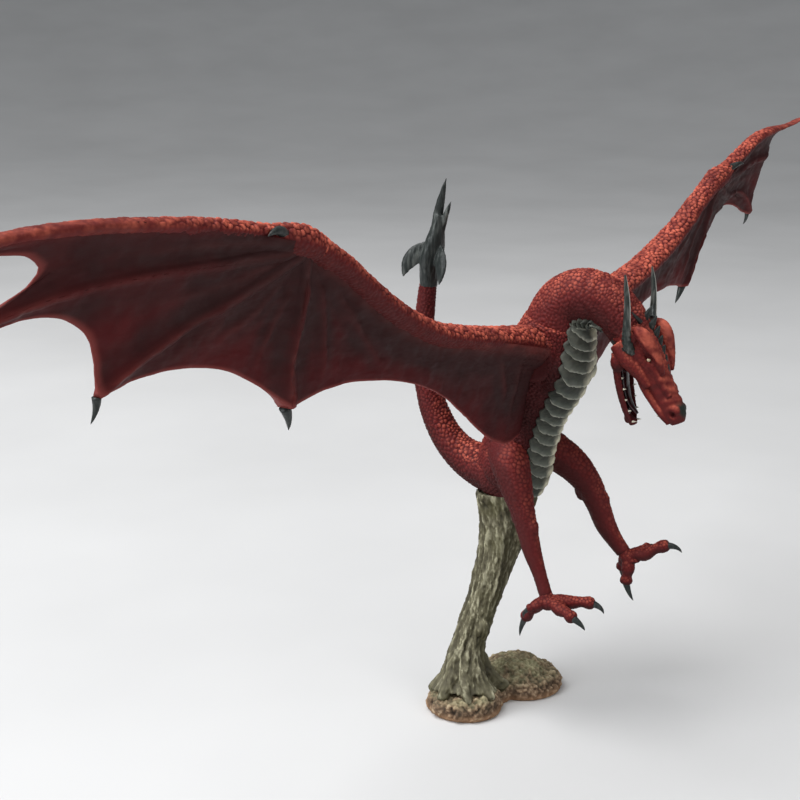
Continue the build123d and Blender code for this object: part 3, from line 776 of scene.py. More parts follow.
def tail_blade():
    """Horny tail tip: collar, two long blades and swept-back barbs, all ridged."""
    edge_on = (-0.54, 0.84, 0)
    parts = [tube(STEM, 28, 50),
             leaf((0, 22.6, 117), (-0.3, 18.6, 135.4), 1.35, 0.8, (0, 0.35, 0), edge_on),
             leaf((0.4, 21.4, 117.5), (-0.4, 16.9, 129.8), 1, 0.7, (0, 0.5, 0), edge_on)]
    for tip, bend, across in BARBS:
        parts.append(leaf((0, 22.4, 117.2), tip, 2.4, 0.65, bend, across))
    shape = fuse(parts, DETAIL, 2)
    shape.push(0.10 * rough(shape.points, 0.9, 3, 1, (1, 1, 0.25)))
    ridges = np.abs(rough(shape.points, 1.6, 2, 6, (1, 1, 0.2)))
    shape.paint["height"] = unit(0.35 + 0.7 * ridges)
    return plain_paint(shape)


# ---- head ----------------------------------------------------------------------------------
HEAD_SEAT = np.array([0, -34, 100.7])
SNOUT = np.array([0, -0.55, -0.835])
CROWN = np.array([0, -0.835, 0.55])


def on_head(along, side, up):
    """Place from distances along the snout, to the left and towards the crown."""
    return tuple(HEAD_SEAT + SNOUT * along + np.array([side, 0, 0]) + CROWN * up)


def head_tube(rows, sides, rings, side=0):
    """Tube through (along, out, up, half width[, half depth]) stations on one side of the head."""
    return tube([(*on_head(a, side * s, u), r[0], r[-1]) for a, s, u, *r in rows], sides, rings)


# Stations on the head: along the snout, outwards, up, half width and, if it differs, half depth.
SKULL = [
    (-1, 0, 0, 5, 5.2), (2, 0, 0.2, 5.3, 5.2), (5.5, 0, 0.7, 5.2, 4.9), (9, 0, 1, 4.3, 4),
    (13, 0, 0.4, 3.3, 3.4), (17, 0, 0.1, 2.9, 3.1), (21, 0, 0, 2.9, 3), (23.2, 0, -0.2, 2.5, 2.5),
    (24.6, 0, -0.4, 1.5, 1.6),
]
CHEEK = [(1, 3.6, -2.4, 2.4), (5, 4.1, -2.2, 2.2), (9, 3.8, -1.6, 1.6), (13.5, 3, -1.5, 0.9)]
BROW = [
    (-0.4, 6, 4.2, 0.5, 0.7), (1.4, 5.9, 4.9, 1.3, 1.6), (4, 5.2, 5.1, 1.5, 1.9),
    (7, 4.2, 4.7, 1.25, 1.6), (10, 3.2, 4, 0.9, 1.1), (12.6, 2.5, 3.3, 0.45, 0.5),
]
LIP = [
    (9, 3.6, -1.9, 0.7), (13, 3, -2.7, 0.75), (17, 2.5, -2.7, 0.75), (21, 2.3, -2.2, 0.8),
    (23.5, 1.4, -1.9, 0.8),
]
SNOUT_EDGE = [(8, 3.6, 2.4, 1), (12.5, 2.8, 1.9, 0.9), (18, 2.2, 1.9, 0.8)]


def head():
    """Skull and upper jaw with cheeks, brow plates, nostrils and lips."""
    parts = [head_tube(SKULL, 40, 70)]
    for side in (-1, 1):
        brow = [(a, s + 0.8 * (side > 0), *others) for a, s, *others in BROW]
        parts += [head_tube(CHEEK, 20, 30, side), head_tube(brow, 20, 40, side),
                  head_tube(LIP, 16, 30, side),
                  ball(on_head(21.6, side * 1.7, 1.3), (1.25, 1.3, 1.5)),
                  head_tube(SNOUT_EDGE, 14, 20, side),
                  ball(on_head(0.8, side * 4.9, 1.6), (1.9, 2.2, 2.2))]
    shape = fuse(parts, DETAIL, 3)
    p = shape.points - HEAD_SEAT
    along, up, side, out = p @ SNOUT, p @ CROWN, p[:, 0], np.abs(p[:, 0])
    dent = np.zeros(len(p))
    for s in (-1, 1):
        nostril = ((along - 22.2) / 0.8) ** 2 + ((side - s * 2.5) / 0.7) ** 2
        socket = ((along - 7.6) / 1.7) ** 2 + ((side - s * 4.9) / 1.3) ** 2
        nostril, socket = nostril + ((up - 0.4) / 0.6) ** 2, socket + ((up - 3.1) / 0.9) ** 2
        dent += 1.3 * np.exp(-nostril) + 0.9 * np.exp(-socket)
    palate = smooth(-up, 1.2, 3) * smooth(along, 8.5, 11) * (1 - smooth(out, 1.4, 2.4))
    palate *= 1 - smooth(along, 22, 23.5)
    folds = np.sin(along * 2.6 + out * 1.2) * smooth(along, 11, 14) * (1 - smooth(along, 20, 22))
    folds *= smooth(up, -2, 1)
    shape.push(-dent + 0.10 * folds)
    shape.points += CROWN * (palate * 1.5)[:, None]
    scaly = (1 - smooth(along, 9, 15)) * (1 - 0.8 * smooth(up, 5.2, 6))
    add_scales(shape, 0.75, 0.24, 61, tuple(-SNOUT), 0.15 + 0.35 * scaly)
    paint = shape.paint
    on_brow = smooth(up, 3.6, 5) * smooth(out, 2.2, 3.2) * (1 - smooth(along, 9.5, 12))
    height = paint["height"] + 0.22 + 0.45 * on_brow
    paint["height"] = unit(height - 0.9 * unit(dent) - 0.5 * palate)
    # Less painted shade under the head, and the brow plates orange whichever way they face.
    paint["sky"] = unit(np.maximum(paint["sky"] * 0.80 + 0.20, 0.80 * on_brow))
    paint["dark"] = smooth(up, 1.3, 2.4) * smooth(along, 19.5, 21.5) * (1 - smooth(out, 1.6, 2.4))
    return shape


# Along, up and height.
THORNS = [
    (-0.8, 4.4, 3.6), (1.6, 5, 3), (3.8, 5.1, 2.4), (6, 4.9, 2), (8.2, 4.5, 1.8), (10.3, 4, 1.5),
    (12.4, 3.6, 1.1),
]
# Along, outwards, up and height.
SIDE_THORNS = [
    (-1.6, 4.9, 5.2, 2.6), (1.2, 5.6, 0.6, 1.6), (3.6, 5.8, -1.4, 1.5), (0.8, 5.3, -3, 1.4),
]


def crest():
    """Dark thorns down the forehead between the brows, and shorter ones at the jaw's corners."""
    parts = []
    for along, up, tall in THORNS:
        tip = on_head(along - 1.1 - 0.35 * tall, 0, up + tall)
        parts.append(spike(on_head(along, 0, up - 0.8), tip, 0.95, flat=1.35))
    for side in (-1, 1):
        for along, out, up, tall in SIDE_THORNS:
            tip = on_head(along - tall * 0.9, side * (out + tall * 0.55), up + 0.5)
            parts.append(spike(on_head(along + 0.6, side * (out - 1.2), up), tip, 0.65, sides=10))
    return mottled(join(*parts), 0.35, 0.5, 0.9, 3)


# The left horn. x is mirrored for the right one.
HORN_LINE = [
    (3.9, -36.6, 96.6, 1.2, 1.2), (5.6, -35.9, 98.4, 1.25, 1.3), (6.5, -35.7, 100.6, 1.1, 1.15),
    (7, -35.8, 104, 0.9, 0.95), (7.2, -35.8, 109, 0.7, 0.75), (7.3, -35.4, 113, 0.55, 0.55),
    (7.2, -35, 116, 0.2, 0.2),
]


def horn(side):
    """Long, slightly curved horn with a few growth rings near its root."""
    far = 1.4 * (side > 0)  # the head is turned a little, so the left horn stands further out
    shape = tube([(side * x + far, *others) for x, *others in HORN_LINE], 24, 90)
    z = shape.points[:, 2]
    ring = np.sin(z * 5.2) * (1 - smooth(z, 99.5, 105.5))
    shape.push(0.09 * ring + 0.05 * rough(shape.points, 0.8, 2, 2.2, (1, 1, 0.15)))
    # Painted highlight down the side of the horn that faces the front.
    front_highlight = smooth(shape.normals() @ np.array([0.05, -1, 0]), 0.78, 0.98)
    shape.paint["height"] = unit(0.25 + 0.75 * front_highlight * smooth(z, 99, 106) + 0.12 * ring)
    return plain_paint(shape)


def eyes():
    balls = [ball(on_head(7.9, side * 4.30, 2.7), (0.36, 0.50, 0.36), 16) for side in (-1, 1)]
    return plain_paint(join(*balls))


def teeth(rows):
    """Small curved teeth from (base, tip, radius) rows."""
    return plain_paint(join(*[spike(a, b, r, sides=10, blunt=0.05) for a, b, r in rows]))


def upper_teeth():
    rows = []
    for side in (-1, 1):
        for k, tall in enumerate((1.3, 0.8, 1, 0.7, 0.9, 1.5, 0.8)):
            t = k / 6
            along = 10 + 13.2 * t
            out = side * float(np.interp(t, [0, 0.4, 0.8, 1], [3.25, 2.55, 2.1, 1]))
            up = float(np.interp(t, [0, 0.4, 1], [-2.1, -3, -2.1]))
            tip = on_head(along - 0.35, out * 0.96, up - tall)
            rows.append((on_head(along, out, up), tip, 0.38))
    return teeth(rows)


JAW = [
    (0, -32.2, 95.6, 4.4, 2.7), (0, -32.2, 92.4, 4.4, 2), (0, -32.7, 88.4, 4.1, 1.7),
    (0, -33.7, 84, 3.4, 1.5), (0, -34.8, 80.4, 2.5, 1.25), (0, -35.6, 78, 1.2, 0.8),
]


def lower_jaw():
    """Trough-shaped jaw: rims at both sides, hollow towards the upper jaw."""
    corners = [ball((x, -32.4, 94), (1.6, 1.9, 2.6)) for x in (-3.6, 3.6)]
    shape = fuse([tube(JAW, 40, 70), ball((0, -34.2, 79.6), (1.3, 1.1, 1.5)), *corners], DETAIL, 2)
    p = shape.points
    axis = curve(JAW, 60)
    order = np.argsort(axis[:, 2])
    cy, w, d = (np.interp(p[:, 2], axis[order, 2], axis[order, k]) for k in (1, 3, 4))
    middle = 1 - smooth(np.abs(p[:, 0]) / np.maximum(w, 0.1), 0.62, 0.86)
    inside = smooth(cy - p[:, 1], -0.2 * d, 0.5 * d) * middle
    inside = inside * smooth(p[:, 2], 78.8, 80.4) * (1 - smooth(p[:, 2], 92.5, 94.5))
    p[:, 1] += inside * d * 1.25
    add_scales(shape, 0.80, 0.20, 71, (0, 0, 1), 0.5 * (1 - inside))
    shape.paint["height"] = unit(shape.paint["height"] - inside)
    return shape


TONGUE = [
    (0, -32.6, 92, 1.9, 0.8), (0, -33.2, 87, 1.7, 0.75), (0, -34.6, 83, 1.2, 0.6),
    (0.2, -36.4, 80.8, 0.5, 0.35),
]
ROOF = [(9.5, 0, -1.2, 2, 0.9), (15, 0, -1.3, 1.7, 0.9), (21, 0, -1.2, 1.4, 0.8)]


def mouth_lining():
    """Dark wet lining of the lower jaw with a tongue, and the roof of the mouth."""
    bed = tube([(0, y + 0.75, z, w * 0.70, d * 0.50) for _, y, z, w, d in JAW[1:-1]], 24, 40)
    throat = ball((0, -35, 93), (3, 2.4, 2.2))
    shape = join(bed, tube(TONGUE, 20, 40), head_tube(ROOF, 20, 30), throat)
    shape.push(0.06 * rough(shape.points, 1, 2, 8))
    return plain_paint(shape)


def lower_teeth():
    heights, *others = zip(*[(z, y, w, d) for _, y, z, w, d in JAW[::-1]])
    rows = []
    for side in (-1, 1):
        for k, tall in enumerate((0.5, 0.8, 0.5, 0.8, 1.3)):
            z = 90 - 10.9 * (k / 4)
            y, w, d = (float(np.interp(z, heights, values)) for values in others)
            w *= 0.80 * side
            y -= d * 0.5
            rows.append(((w, y, z), (w * 0.97, y - tall, z + 0.15), 0.27))
    return teeth(rows)


# ---- legs ----------------------------------------------------------------------------------
# From hip to ankle.
LEGS = {
    "right": [
        (-4.5, -2.6, 67, 5, 5.2), (-8, -5.6, 65.6, 4.7, 5), (-10.2, -8.6, 60.6, 3.9, 4.3),
        (-11.3, -11.2, 55, 2.9, 3.2), (-11.9, -13.2, 49.4, 2.4, 2.7),
        (-12.2, -14.8, 44.6, 2.1, 2.4), (-12.6, -17.2, 39.2, 1.7, 1.8),
        (-13, -19.3, 34.2, 1.6, 1.7),
    ],
    "left": [
        (4, -5, 66.6, 5, 5), (7.6, -9.8, 65.4, 4.6, 4.9), (9.6, -14.4, 62.2, 4, 4.5),
        (10.8, -18.6, 57.4, 3.3, 3.7), (11.4, -21.6, 51.6, 2.8, 3.1), (11.8, -23.8, 46.4, 2.4, 2.8),
        (12.3, -26.4, 42.4, 2, 2.2), (12.6, -28.8, 39.6, 1.8, 1.9),
    ],
}
PALM = {"right": (-13, -20, 32.2), "left": (12.8, -30.2, 38.4)}
# Knuckle, last joint, claw tip and thickness of each toe.
TOES = {
    "right": [
        ((-11.2, -25.6, 32.9), (-10, -30.6, 33.4), (-9.8, -33.9, 31.2), 1.35),
        ((-14.8, -24.4, 31.9), (-16, -28.4, 31), (-16.2, -31.9, 28.6), 1.35),
        ((-13.4, -16.8, 30.6), (-13.2, -13.8, 27), (-13, -12.2, 21.4), 1.30),
        ((-15.8, -18, 31.8), (-16.8, -16.4, 31), (-17.6, -15.6, 28.8), 0.95),
    ],
    "left": [
        ((13, -34.4, 40), (14, -39.8, 43.2), (14.2, -44.2, 42), 1.40),
        ((11.2, -30.8, 35.6), (10.6, -30.6, 32.2), (10.6, -32.9, 27.6), 1.35),
        ((15.4, -27.8, 36.2), (16.8, -26.6, 33.6), (17.2, -27, 30.4), 1.25),
        ((15.2, -31.8, 39.6), (17.6, -33.6, 40.6), (19.2, -35.2, 39.6), 1),
    ],
}
# Station of the leg, place off it and radii of the knee cap, calf and thigh.
MUSCLES = [
    (4, (0.2, -1.3, 1.2), (1.7, 1.7, 2.6)), (3, (-0.4, 1.4, -1), (1.8, 1.9, 4)),
    (1, (0.8, -0.8, 0.8), (3, 3.6, 4.2)),
]


def leg(name, side):
    """Thigh and shin with a swelling calf, a knee cap and bigger scales down the front."""
    rows = LEGS[name]
    parts = [tube(rows, 40, 80)]
    for station, off, radii in MUSCLES:
        parts.append(ball(np.array(rows[station][:3]) + np.array(off) * (side, 1, 1), radii))
    shape = fuse(parts, FINE, 4)
    p = shape.points
    line = curve(rows, 80)
    order = np.argsort(line[:, 2])
    front = np.interp(p[:, 2], line[order, 2], line[order, 1]) - p[:, 1]
    low = 1 - smooth(p[:, 2], 44, 58)
    spacing = 0.70 + 0.20 * smooth(front, 0.5, 2.6)
    add_scales(shape, spacing, 0.44, 81 + side, (0, 0.1, -1), 0.60 - 0.36 * low)
    # Painted shade on the upper leg, which sits under the body and wing, and more of the painted
    # highlight down the front of the leg.
    sky = (0.72 - 0.30 * smooth(p[:, 2], 56, 62)) * shape.paint["sky"]
    shape.paint["sky"] = unit(sky + 0.28 * smooth(front, 1.2, 2.6))
    return shape


def foot(name):
    """Palm, knuckled toes and the web between the two front toes."""
    palm, ankle = np.array(PALM[name]), np.array(LEGS[name][-1][:3])
    shin = [(*(ankle + (ankle - palm) * 0.15), 1.6, 1.7), (*palm, 2, 2.1)]
    parts = [tube(shin, 20, 12), ball(palm, (2.3, 2.4, 1.9))]
    rise = np.array([0, 0, 0.5])
    for knuckle, last, _, r in TOES[name]:
        k, e = np.array(knuckle), np.array(last)
        rows = [(palm, 1.35, 1.3), ((palm + k) / 2 + rise, 1.22, 1.22), (k, 1.28, 1.3),
                ((k + e) / 2 + rise * 0.5, 0.96, 1), (e, 1.12, 1.18),
                (e + (e - k) * 0.14, 0.8, 0.8)]
        parts.append(tube([(*at, r * w, r * d) for at, w, d in rows], 18, 40, (0.2, 0.2, 1)))
    first, second = (np.array(t[0]) for t in TOES[name][:2])
    parts.append(ball((palm * 2 + first + second) / 4, (1.9, 2.1, 0.8)))
    shape = fuse(parts, DETAIL, 2)
    add_scales(shape, 0.75, 0.24, 91 + len(name), (0, -1, -0.4), 0.5)
    return shape


def claws(name):
    """Hooked claws that grow out of the last joints."""
    parts = []
    for knuckle, last, tip, r in TOES[name]:
        k, e, t = np.array(knuckle), np.array(last), np.array(tip)
        bend = (e - k) / np.linalg.norm(e - k) * 0.55 + np.array([0, 0, 0.25])
        parts.append(spike(e + (t - e) * 0.04, t, r * 0.80, bend, 16, 0.85, 0.05))
    return mottled(join(*parts), 0.3, 0.6, 1, 5)


# ---- wings: made for the right side, at a = distance from the mid-plane --------------------
# a, y, z of the line that the skin hangs from.
BONE = [
    (WING_ROOT + 0.05, -12.6, 97), (28, -13, 101), (45, -13, 104.8), (60, -13.2, 109),
    (80, -13.6, 119), (95, -14, 128.5), (103, -14, 132.4), (114, -14, 135.4), (126, -14, 137.6),
    (145, -14, 140.2), (164, -14, 141.6), (182, -14, 141.2), (198, -14, 139.2), (207, -14, 136.8),
]
# a, y, z, half width and half height of the arm, which is broad towards the back.
ARM = [
    (WING_ROOT + 0.05, -11.8, 97, 5, 5), (18, -11.2, 99.2, 5, 3.7), (28, -10.9, 101.3, 4.9, 3),
    (42, -11, 104.2, 4.8, 2.7), (56, -11.4, 107.6, 4.4, 2.6), (68, -11.9, 112.6, 4, 2.6),
    (80, -12.6, 119.3, 3.5, 2.5), (92, -13.3, 127, 3.1, 2.4),
    (WING_SPLIT - 0.05, -13.7, 131.7, 3, 2.7),
]
# Wrist and first finger, which is the leading edge of the outer wing.
HAND = [
    (WING_SPLIT + 0.05, -13.7, 131.7, 3, 2.7), (105, -13.8, 133.2, 3.3, 3.2),
    (109, -13.9, 134.2, 3, 2.9), (114, -13.6, 135.4, 2.5, 2), (126, -14, 137.8, 2.3, 1.6),
    (145, -14.2, 140.4, 2.2, 1.35), (164, -14.2, 141.8, 1.9, 1.2), (182, -14.1, 141.3, 1.6, 1.05),
    (198, -14, 139.3, 1.2, 0.9), (207, -14, 136.8, 0.7, 0.6),
]
# a, z and thickness of each finger from the wrist out.
FINGERS = {
    1: [
        (107.5, 133.6, 2.4), (126, 137.4, 1.7), (145, 140, 1.4), (164, 141.4, 1.2), (182, 141, 1),
        (198, 139, 0.8), (207, 136.8, 0.5),
    ],
    2: [
        (107.5, 132, 1.5), (122, 131.6, 1.3), (137, 131.9, 1.15), (155, 132, 1), (167, 131.2, 0.9),
        (180, 128.6, 0.75), (193, 124, 0.5),
    ],
    3: [
        (106.5, 131, 1.5), (117.5, 126.4, 1.3), (131, 122.4, 1.15), (143.6, 117.6, 1),
        (149.6, 114.6, 0.95), (152.4, 112.6, 0.9),
    ],
    4: [
        (105, 131, 1.6), (103.4, 124, 1.5), (103.6, 115, 1.6), (103, 106.5, 1.8),
        (101.2, 99.8, 1.9),
    ],
}
# a, z of the trailing edge between each finger and the next.
SCALLOPS = {
    1: [
        (207, 136.8), (196, 137.9), (184, 139), (175.5, 139.2), (170.2, 138), (168.2, 136.2),
        (169.6, 134.4), (174, 132.2), (182, 128.9), (188, 126.3), (193, 124),
    ],
    2: [
        (193, 124), (186, 126.2), (179, 127.6), (172, 128.6), (166, 128.4), (160.6, 126.8),
        (156.4, 123.8), (154.2, 119.8), (153.2, 116.2), (152.4, 112.6),
    ],
    3: [
        (152.4, 112.6), (149, 113.2), (143, 113.9), (137, 114.2), (129, 113.2), (121, 111.2),
        (113, 107.5), (105.8, 103.2), (101.2, 99.8),
    ],
}
# a, z where the skin meets the body.
ROOT_LINE = [(WING_ROOT + 0.05, 97), (WING_ROOT + 0.05, 91.5), (9.9, 86.5), (8.5, 80), (8.2, 73)]
# a, z of the inner skin's trailing edge.
INNER_EDGE = [
    (8.2, 73), (11, 72.2), (14, 72.2), (19, 73.8), (26, 77.4), (36, 84.2), (48, 91.8), (60, 96.8),
    (74, 100.4), (85, 101.7), (93, 101.2), (98.2, 100.1), (101.2, 99.8),
]
# a, z and height of the soft folds between the bones.
INNER_FOLDS = [
    [(101, 128, 0.7), (96, 118, 0.7), (93.5, 108, 0.6), (93, 101, 0.4)],
    [(98, 127, 0.35), (84, 113, 0.35), (74, 103, 0.3)],
    [(20, 97, 0.5), (17, 88, 0.5), (16, 80, 0.3)], [(30, 99, 0.4), (24, 91, 0.4), (20, 84, 0.3)],
]
OUTER_FOLDS = [
    [(110, 134, 0.35), (130, 135.6, 0.4), (150, 136.2, 0.2)],
    [(109, 131, 0.4), (124, 128.2, 0.4), (142, 126.6, 0.2)],
    [(108, 128, 0.45), (116, 121.5, 0.45), (128, 116.5, 0.25)],
    [(106.5, 125, 0.4), (110.5, 117, 0.4), (113, 110, 0.25)],
    [(124, 121.5, 0.4), (127, 119.2, 0.4), (129.5, 116.6, 0.2)],
    [(127.5, 121, 0.4), (130.5, 118.6, 0.4), (133.5, 116, 0.2)],
    [(131.5, 119.6, 0.4), (134.5, 117.2, 0.4), (137, 115.4, 0.2)],
]
SKIN_HALF = 0.42  # half thickness of the wing skin
INNER_CORNER = (105.8, 133.4)  # where the inner skin ends at the wrist, under the outer one


def lead(a, column):
    """y (column 1) or z (column 2) of the arm and leading finger at distance a."""
    line = np.array(BONE)
    return np.interp(a, line[:, 0], line[:, column])


def hang(a, z):
    """y of the middle of the skin: it hangs back from the arm, least at the body."""
    slope = 0.25 - 0.05 * unit(1 - (a - WING_ROOT) / 35)
    return lead(a, 1) + slope * (lead(a, 2) - z)


def grid_shares(rows, cols):
    """Shares from 0 to 1 down the rows and along the columns of a grid."""
    return np.linspace(0, 1, rows)[:, None, None], np.linspace(0, 1, cols)[None, :, None]


def fan(edges, trailing, rows, cols):
    """Grid of (a, z) between two edge curves that start together, out to the trailing curve."""
    left, right = (flat_curve(e, rows) for e in edges)
    out = flat_curve(trailing, cols)
    s, t = grid_shares(rows, cols)
    chord = out[:1] * (1 - t) + out[-1:] * t
    return left[:, None] * (1 - t) + right[:, None] * t + s**1.15 * (out[None] - chord)


def distance_to(line, grid):
    """Gap from each (a, z) of the grid to the line, share of the line there and its thickness."""
    path = curve([(a, 0, z, r) for a, z, r in line], 60)
    flat = grid.reshape(-1, 2)
    best, share, radius = np.full(len(flat), 1e9), np.zeros(len(flat)), np.zeros(len(flat))
    for k in range(len(path) - 1):
        start, way = path[k, (0, 2)], path[k + 1, (0, 2)] - path[k, (0, 2)]
        u = unit(((flat - start) @ way) / (way @ way))
        gap = np.linalg.norm(flat - start - u[:, None] * way, axis=1)
        closer = gap < best
        best[closer] = gap[closer]
        share[closer] = (k + u[closer]) / (len(path) - 1)
        radius[closer] = path[k, 3]
    return (x.reshape(grid.shape[:2]) for x in (best, share, radius))


def sheet(grid, bones, folds, glaze_bias, seed):
    """Closed thin skin over a grid of (a, z), raised over the bones, folded and painted."""
    rows, cols = grid.shape[:2]
    a, z = grid[..., 0], grid[..., 1]
    lift, ridge, shadow = np.zeros((3, rows, cols))
    for line in bones:
        gap, share, radius = distance_to(line, grid)
        lift = np.maximum(lift, np.sqrt(np.clip(radius**2 - (gap * 0.85) ** 2, 0, None)))
        lift = np.maximum(lift, 0.55 * radius * bell(gap, radius * 1.9))
        is_arm = line[0][0] < 20
        wide = 2.4 if is_arm else 0.75  # the arm's red fades into the skin
        strength = 0.9 if is_arm else 0.18 + 0.50 * smooth(share, 0.35, 0.95)
        ridge = np.maximum(ridge, bell(gap, wide) * strength)
        shadow = np.maximum(shadow, bell(gap - 2.6 - wide, 3.4))
    for line in folds:
        gap, share, radius = distance_to(line, grid)
        fade = np.sin(np.pi * unit(share)) ** 0.5
        lift += radius * fade * bell(gap, 1.1)
        ridge = np.maximum(ridge, 0.13 * fade * bell(gap, 0.8))
        shadow = np.maximum(shadow, 0.7 * fade * bell(gap - 1.6, 1.8))
    flat = np.stack([a.ravel(), np.zeros(a.size), z.ravel()], axis=1)
    ripple = rough(flat, 9, 3, seed).reshape(rows, cols)
    crease = rough(flat, 3.2, 3, seed + 5, (0.5, 1, 1.5)).reshape(rows, cols)
    s = np.linspace(0, 1, rows)[:, None] * np.ones((1, cols))
    y = hang(a, z) + 0.55 * ripple + 0.15 * crease
    half = SKIN_HALF * (1 - 0.55 * smooth(s, 0.9))
    front, back = (np.stack([-a, side, z], axis=-1).reshape(-1, 3)
                   for side in (y - half - lift, y + half + lift * 0.8))
    shape = shell(front, back, rows, cols, turned=True)
    # Painted shadow beside the bones and folds, plus glazing that darkens towards the arm and
    # wrist, and cloudy ripples.
    glaze = unit(0.25 + 0.75 * shadow + glaze_bias(a, z, s) + 0.30 * ripple)
    for key, values in (("glaze", glaze), ("ridge", ridge), ("rim", smooth(s, 0.965))):
        shape.paint[key] = np.tile(values.ravel(), 2)
    return shape


def wing_limb(stations, seed, smooth_from=1e9):
    """Scaly arm or leading finger from (a, y, z, half width, half height) stations."""
    rows = [(-a, *others) for a, *others in stations]
    shape = fuse([tube(rows, 32, 140, (0, 1, 0))], FINE, 2)
    far = smooth(-shape.points[:, 0], smooth_from, smooth_from + 30)
    top = shape.sky(-0.3, 0.6)
    amount = (1 - 0.85 * far) * (0.35 + 0.65 * top)
    add_scales(shape, 0.85 + 0.35 * top, 0.55, seed, (-1, 0, 0.2), amount)
    shape.push(0.16 * rough(shape.points, 2.2, 3, 1.7))
    shape.points[:, 0] = np.minimum(shape.points[:, 0], -WING_ROOT)
    # More of the painted highlight on the arm and leading finger, most towards the tip, and less
    # painted shade beneath.
    shape.paint["sky"] = unit(shape.paint["sky"] * 1.1 + 0.22 + 0.36 * far)
    shape.paint["height"] = unit(shape.paint["height"] + 0.12)
    return shape


def finger_claw(number, tip, thickness):
    base = FINGERS[number][-1][:2]
    start, end = ((-a, hang(a, z), z) for a, z in (base, tip))
    return spike(start, end, thickness, (0.25, -0.2, 0), 16, blunt=0.05)


def inner_skin():
    """Skin between the body, the arm and the fourth finger."""
    rows, cols = 110, 190
    top = flat_curve([(r[0], r[2]) for r in BONE[:6]] + [INNER_CORNER], cols)
    bottom = flat_curve(INNER_EDGE, cols)
    left = flat_curve(ROOT_LINE, rows)
    right = flat_curve([(p[0] + 0.25, p[1]) for p in [INNER_CORNER] + FINGERS[4]], rows)
    s, t = grid_shares(rows, cols)
    across = left[:, None] * (1 - t) + right[:, None] * t
    down = top[None] * (1 - s) + bottom[None] * s
    flat = (top[0] * (1 - s) + bottom[0] * s) * (1 - t) + (top[-1] * (1 - s) + bottom[-1] * s) * t

    def bias(a, z, s):
        along = 0.25 * (1 - smooth(a, 14, 34)) - 0.15 * smooth(a, 60, 90)
        return 0.30 - 0.55 * smooth(s, 0.55) + along

    arm = [(a, z, h * (1.03 - 0.53 * smooth(a, 26, 50))) for a, _, z, _, h in ARM]
    return sheet(across + down - flat, [FINGERS[4], arm], INNER_FOLDS, bias, 3)


def outer_skin():
    """Skin between the four fingers, fanned out from the wrist."""
    fans = [fan((FINGERS[k], FINGERS[k + 1]), SCALLOPS[k], 130, cols)
            for k, cols in ((1, 56), (2, 60), (3, 70))]
    grid = np.concatenate([fans[0], fans[1][:, 1:], fans[2][:, 1:]], axis=1)

    def bias(a, z, s):
        near_wrist = 1 - smooth(np.hypot(a - 107, z - 133), 8, 34)
        return 0.35 * near_wrist - 0.30 * smooth(s, 0.45, 0.95) - 0.05

    return sheet(grid, [FINGERS[k] for k in (1, 2, 3, 4)], OUTER_FOLDS, bias, 6)


def plug():
    """Keyed plug that goes into the shoulder's socket, with a lead-in at its end."""
    rows = [(-5.3, *SHOULDER, 1.3, 2.6)] + [(x, *SHOULDER, 1.58, 2.8) for x in (-5.9, -9, -14)]

    def square(s, turn):
        return 1 / np.maximum(np.abs(np.cos(turn)), np.abs(np.sin(turn))) ** 0.92 + 0 * s

    return plain_paint(tube(rows, 40, 30, (0, 1, 0), square), 0.3)


def as_left(shape):
    """Mirror image that flies a little differently: lower wrist, hand flatter towards its tip."""
    other = shape.mirrored()
    a = other.points[:, 0]
    drop = lead(a, 2) - other.points[:, 2]
    turn = 0.74 * smooth(a, 149, 175)
    pull = 0.30 * bell(a - 125, 14) * smooth(drop, 10, 24)
    dip = 4.5 * smooth(a, 50, 100) * (1 - smooth(a, 108, 145)) - 5 * smooth(a, 160, 206)
    back = 0.8 * turn - 0.05 * smooth(a, 120, 150) * (1 - smooth(a, 155, 165))
    other.points[:, 2] += drop * (turn + pull) - dip
    other.points[:, 1] += np.maximum(drop, 0) * back
    return other


def wrist_pin():
    """Brass rod inside the wrist that holds the two castings of a wing together."""
    low, high = (np.array(corner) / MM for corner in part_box("right_wrist_rod"))
    y, r = (low[1] + high[1]) / 2, (high[1] - low[1]) / 2
    ends = ((high[0] - 0.3, low[2] + r, 0.85), (high[0] - 0.8, low[2] + r, 1),
            (low[0] + 0.8, high[2] - r, 1), (low[0] + 0.3, high[2] - r, 0.85))
    return plain_paint(tube([(x, y, z, r * k, r * k) for x, z, k in ends], 20, 16, (0, 1, 0)))


def wings():
    hand = wing_limb(HAND, 103, 125)
    thumb, curl = ((-112.4, -15, 135.6), (-119.4, -17.2, 136.1)), (-0.1, -0.4, 0.8)
    outer_claws = join(spike(*thumb, 1.25, curl, 16, blunt=0.05),
                       finger_claw(3, (152.9, 108), 0.85), finger_claw(2, (197, 122.2), 0.6),
                       spike((-206.4, -14, 137), (-209.6, -13.4, 135.2), 0.6, blunt=0.05))
    inner_claw = finger_claw(4, (98.9, 94.6), 1.25)
    pieces = (
        ("inner_wing_skin", inner_skin(), "wing_skin", SKIN, "inner_wing"),
        ("arm", join(wing_limb(ARM, 101), plug()), "hide", HIDE),
        ("outer_wing_skin", outer_skin(), "wing_skin", SKIN, "outer_wing"),
        ("leading_finger", hand, "hide", HIDE),
        ("hand_claws", mottled(outer_claws, 0.35, 0.5, 1.2, 7), "claw", CLAW),
        ("inner_claw", mottled(inner_claw, 0.35, 0.5, 1.2, 7), "claw", CLAW),
        ("wrist_pin", wrist_pin(), "brass", BRASS, "wrist_rod"),
    )
    for name, side in SIDES:
        for part, shape, slot, material, *nodes in pieces:
            made = as_left(shape) if side > 0 else shape
            nodes = [f"{name}_{node}" for node in nodes]
            place(f"{name}_{part}", made, f"{name}_wing", slot, material, *nodes)


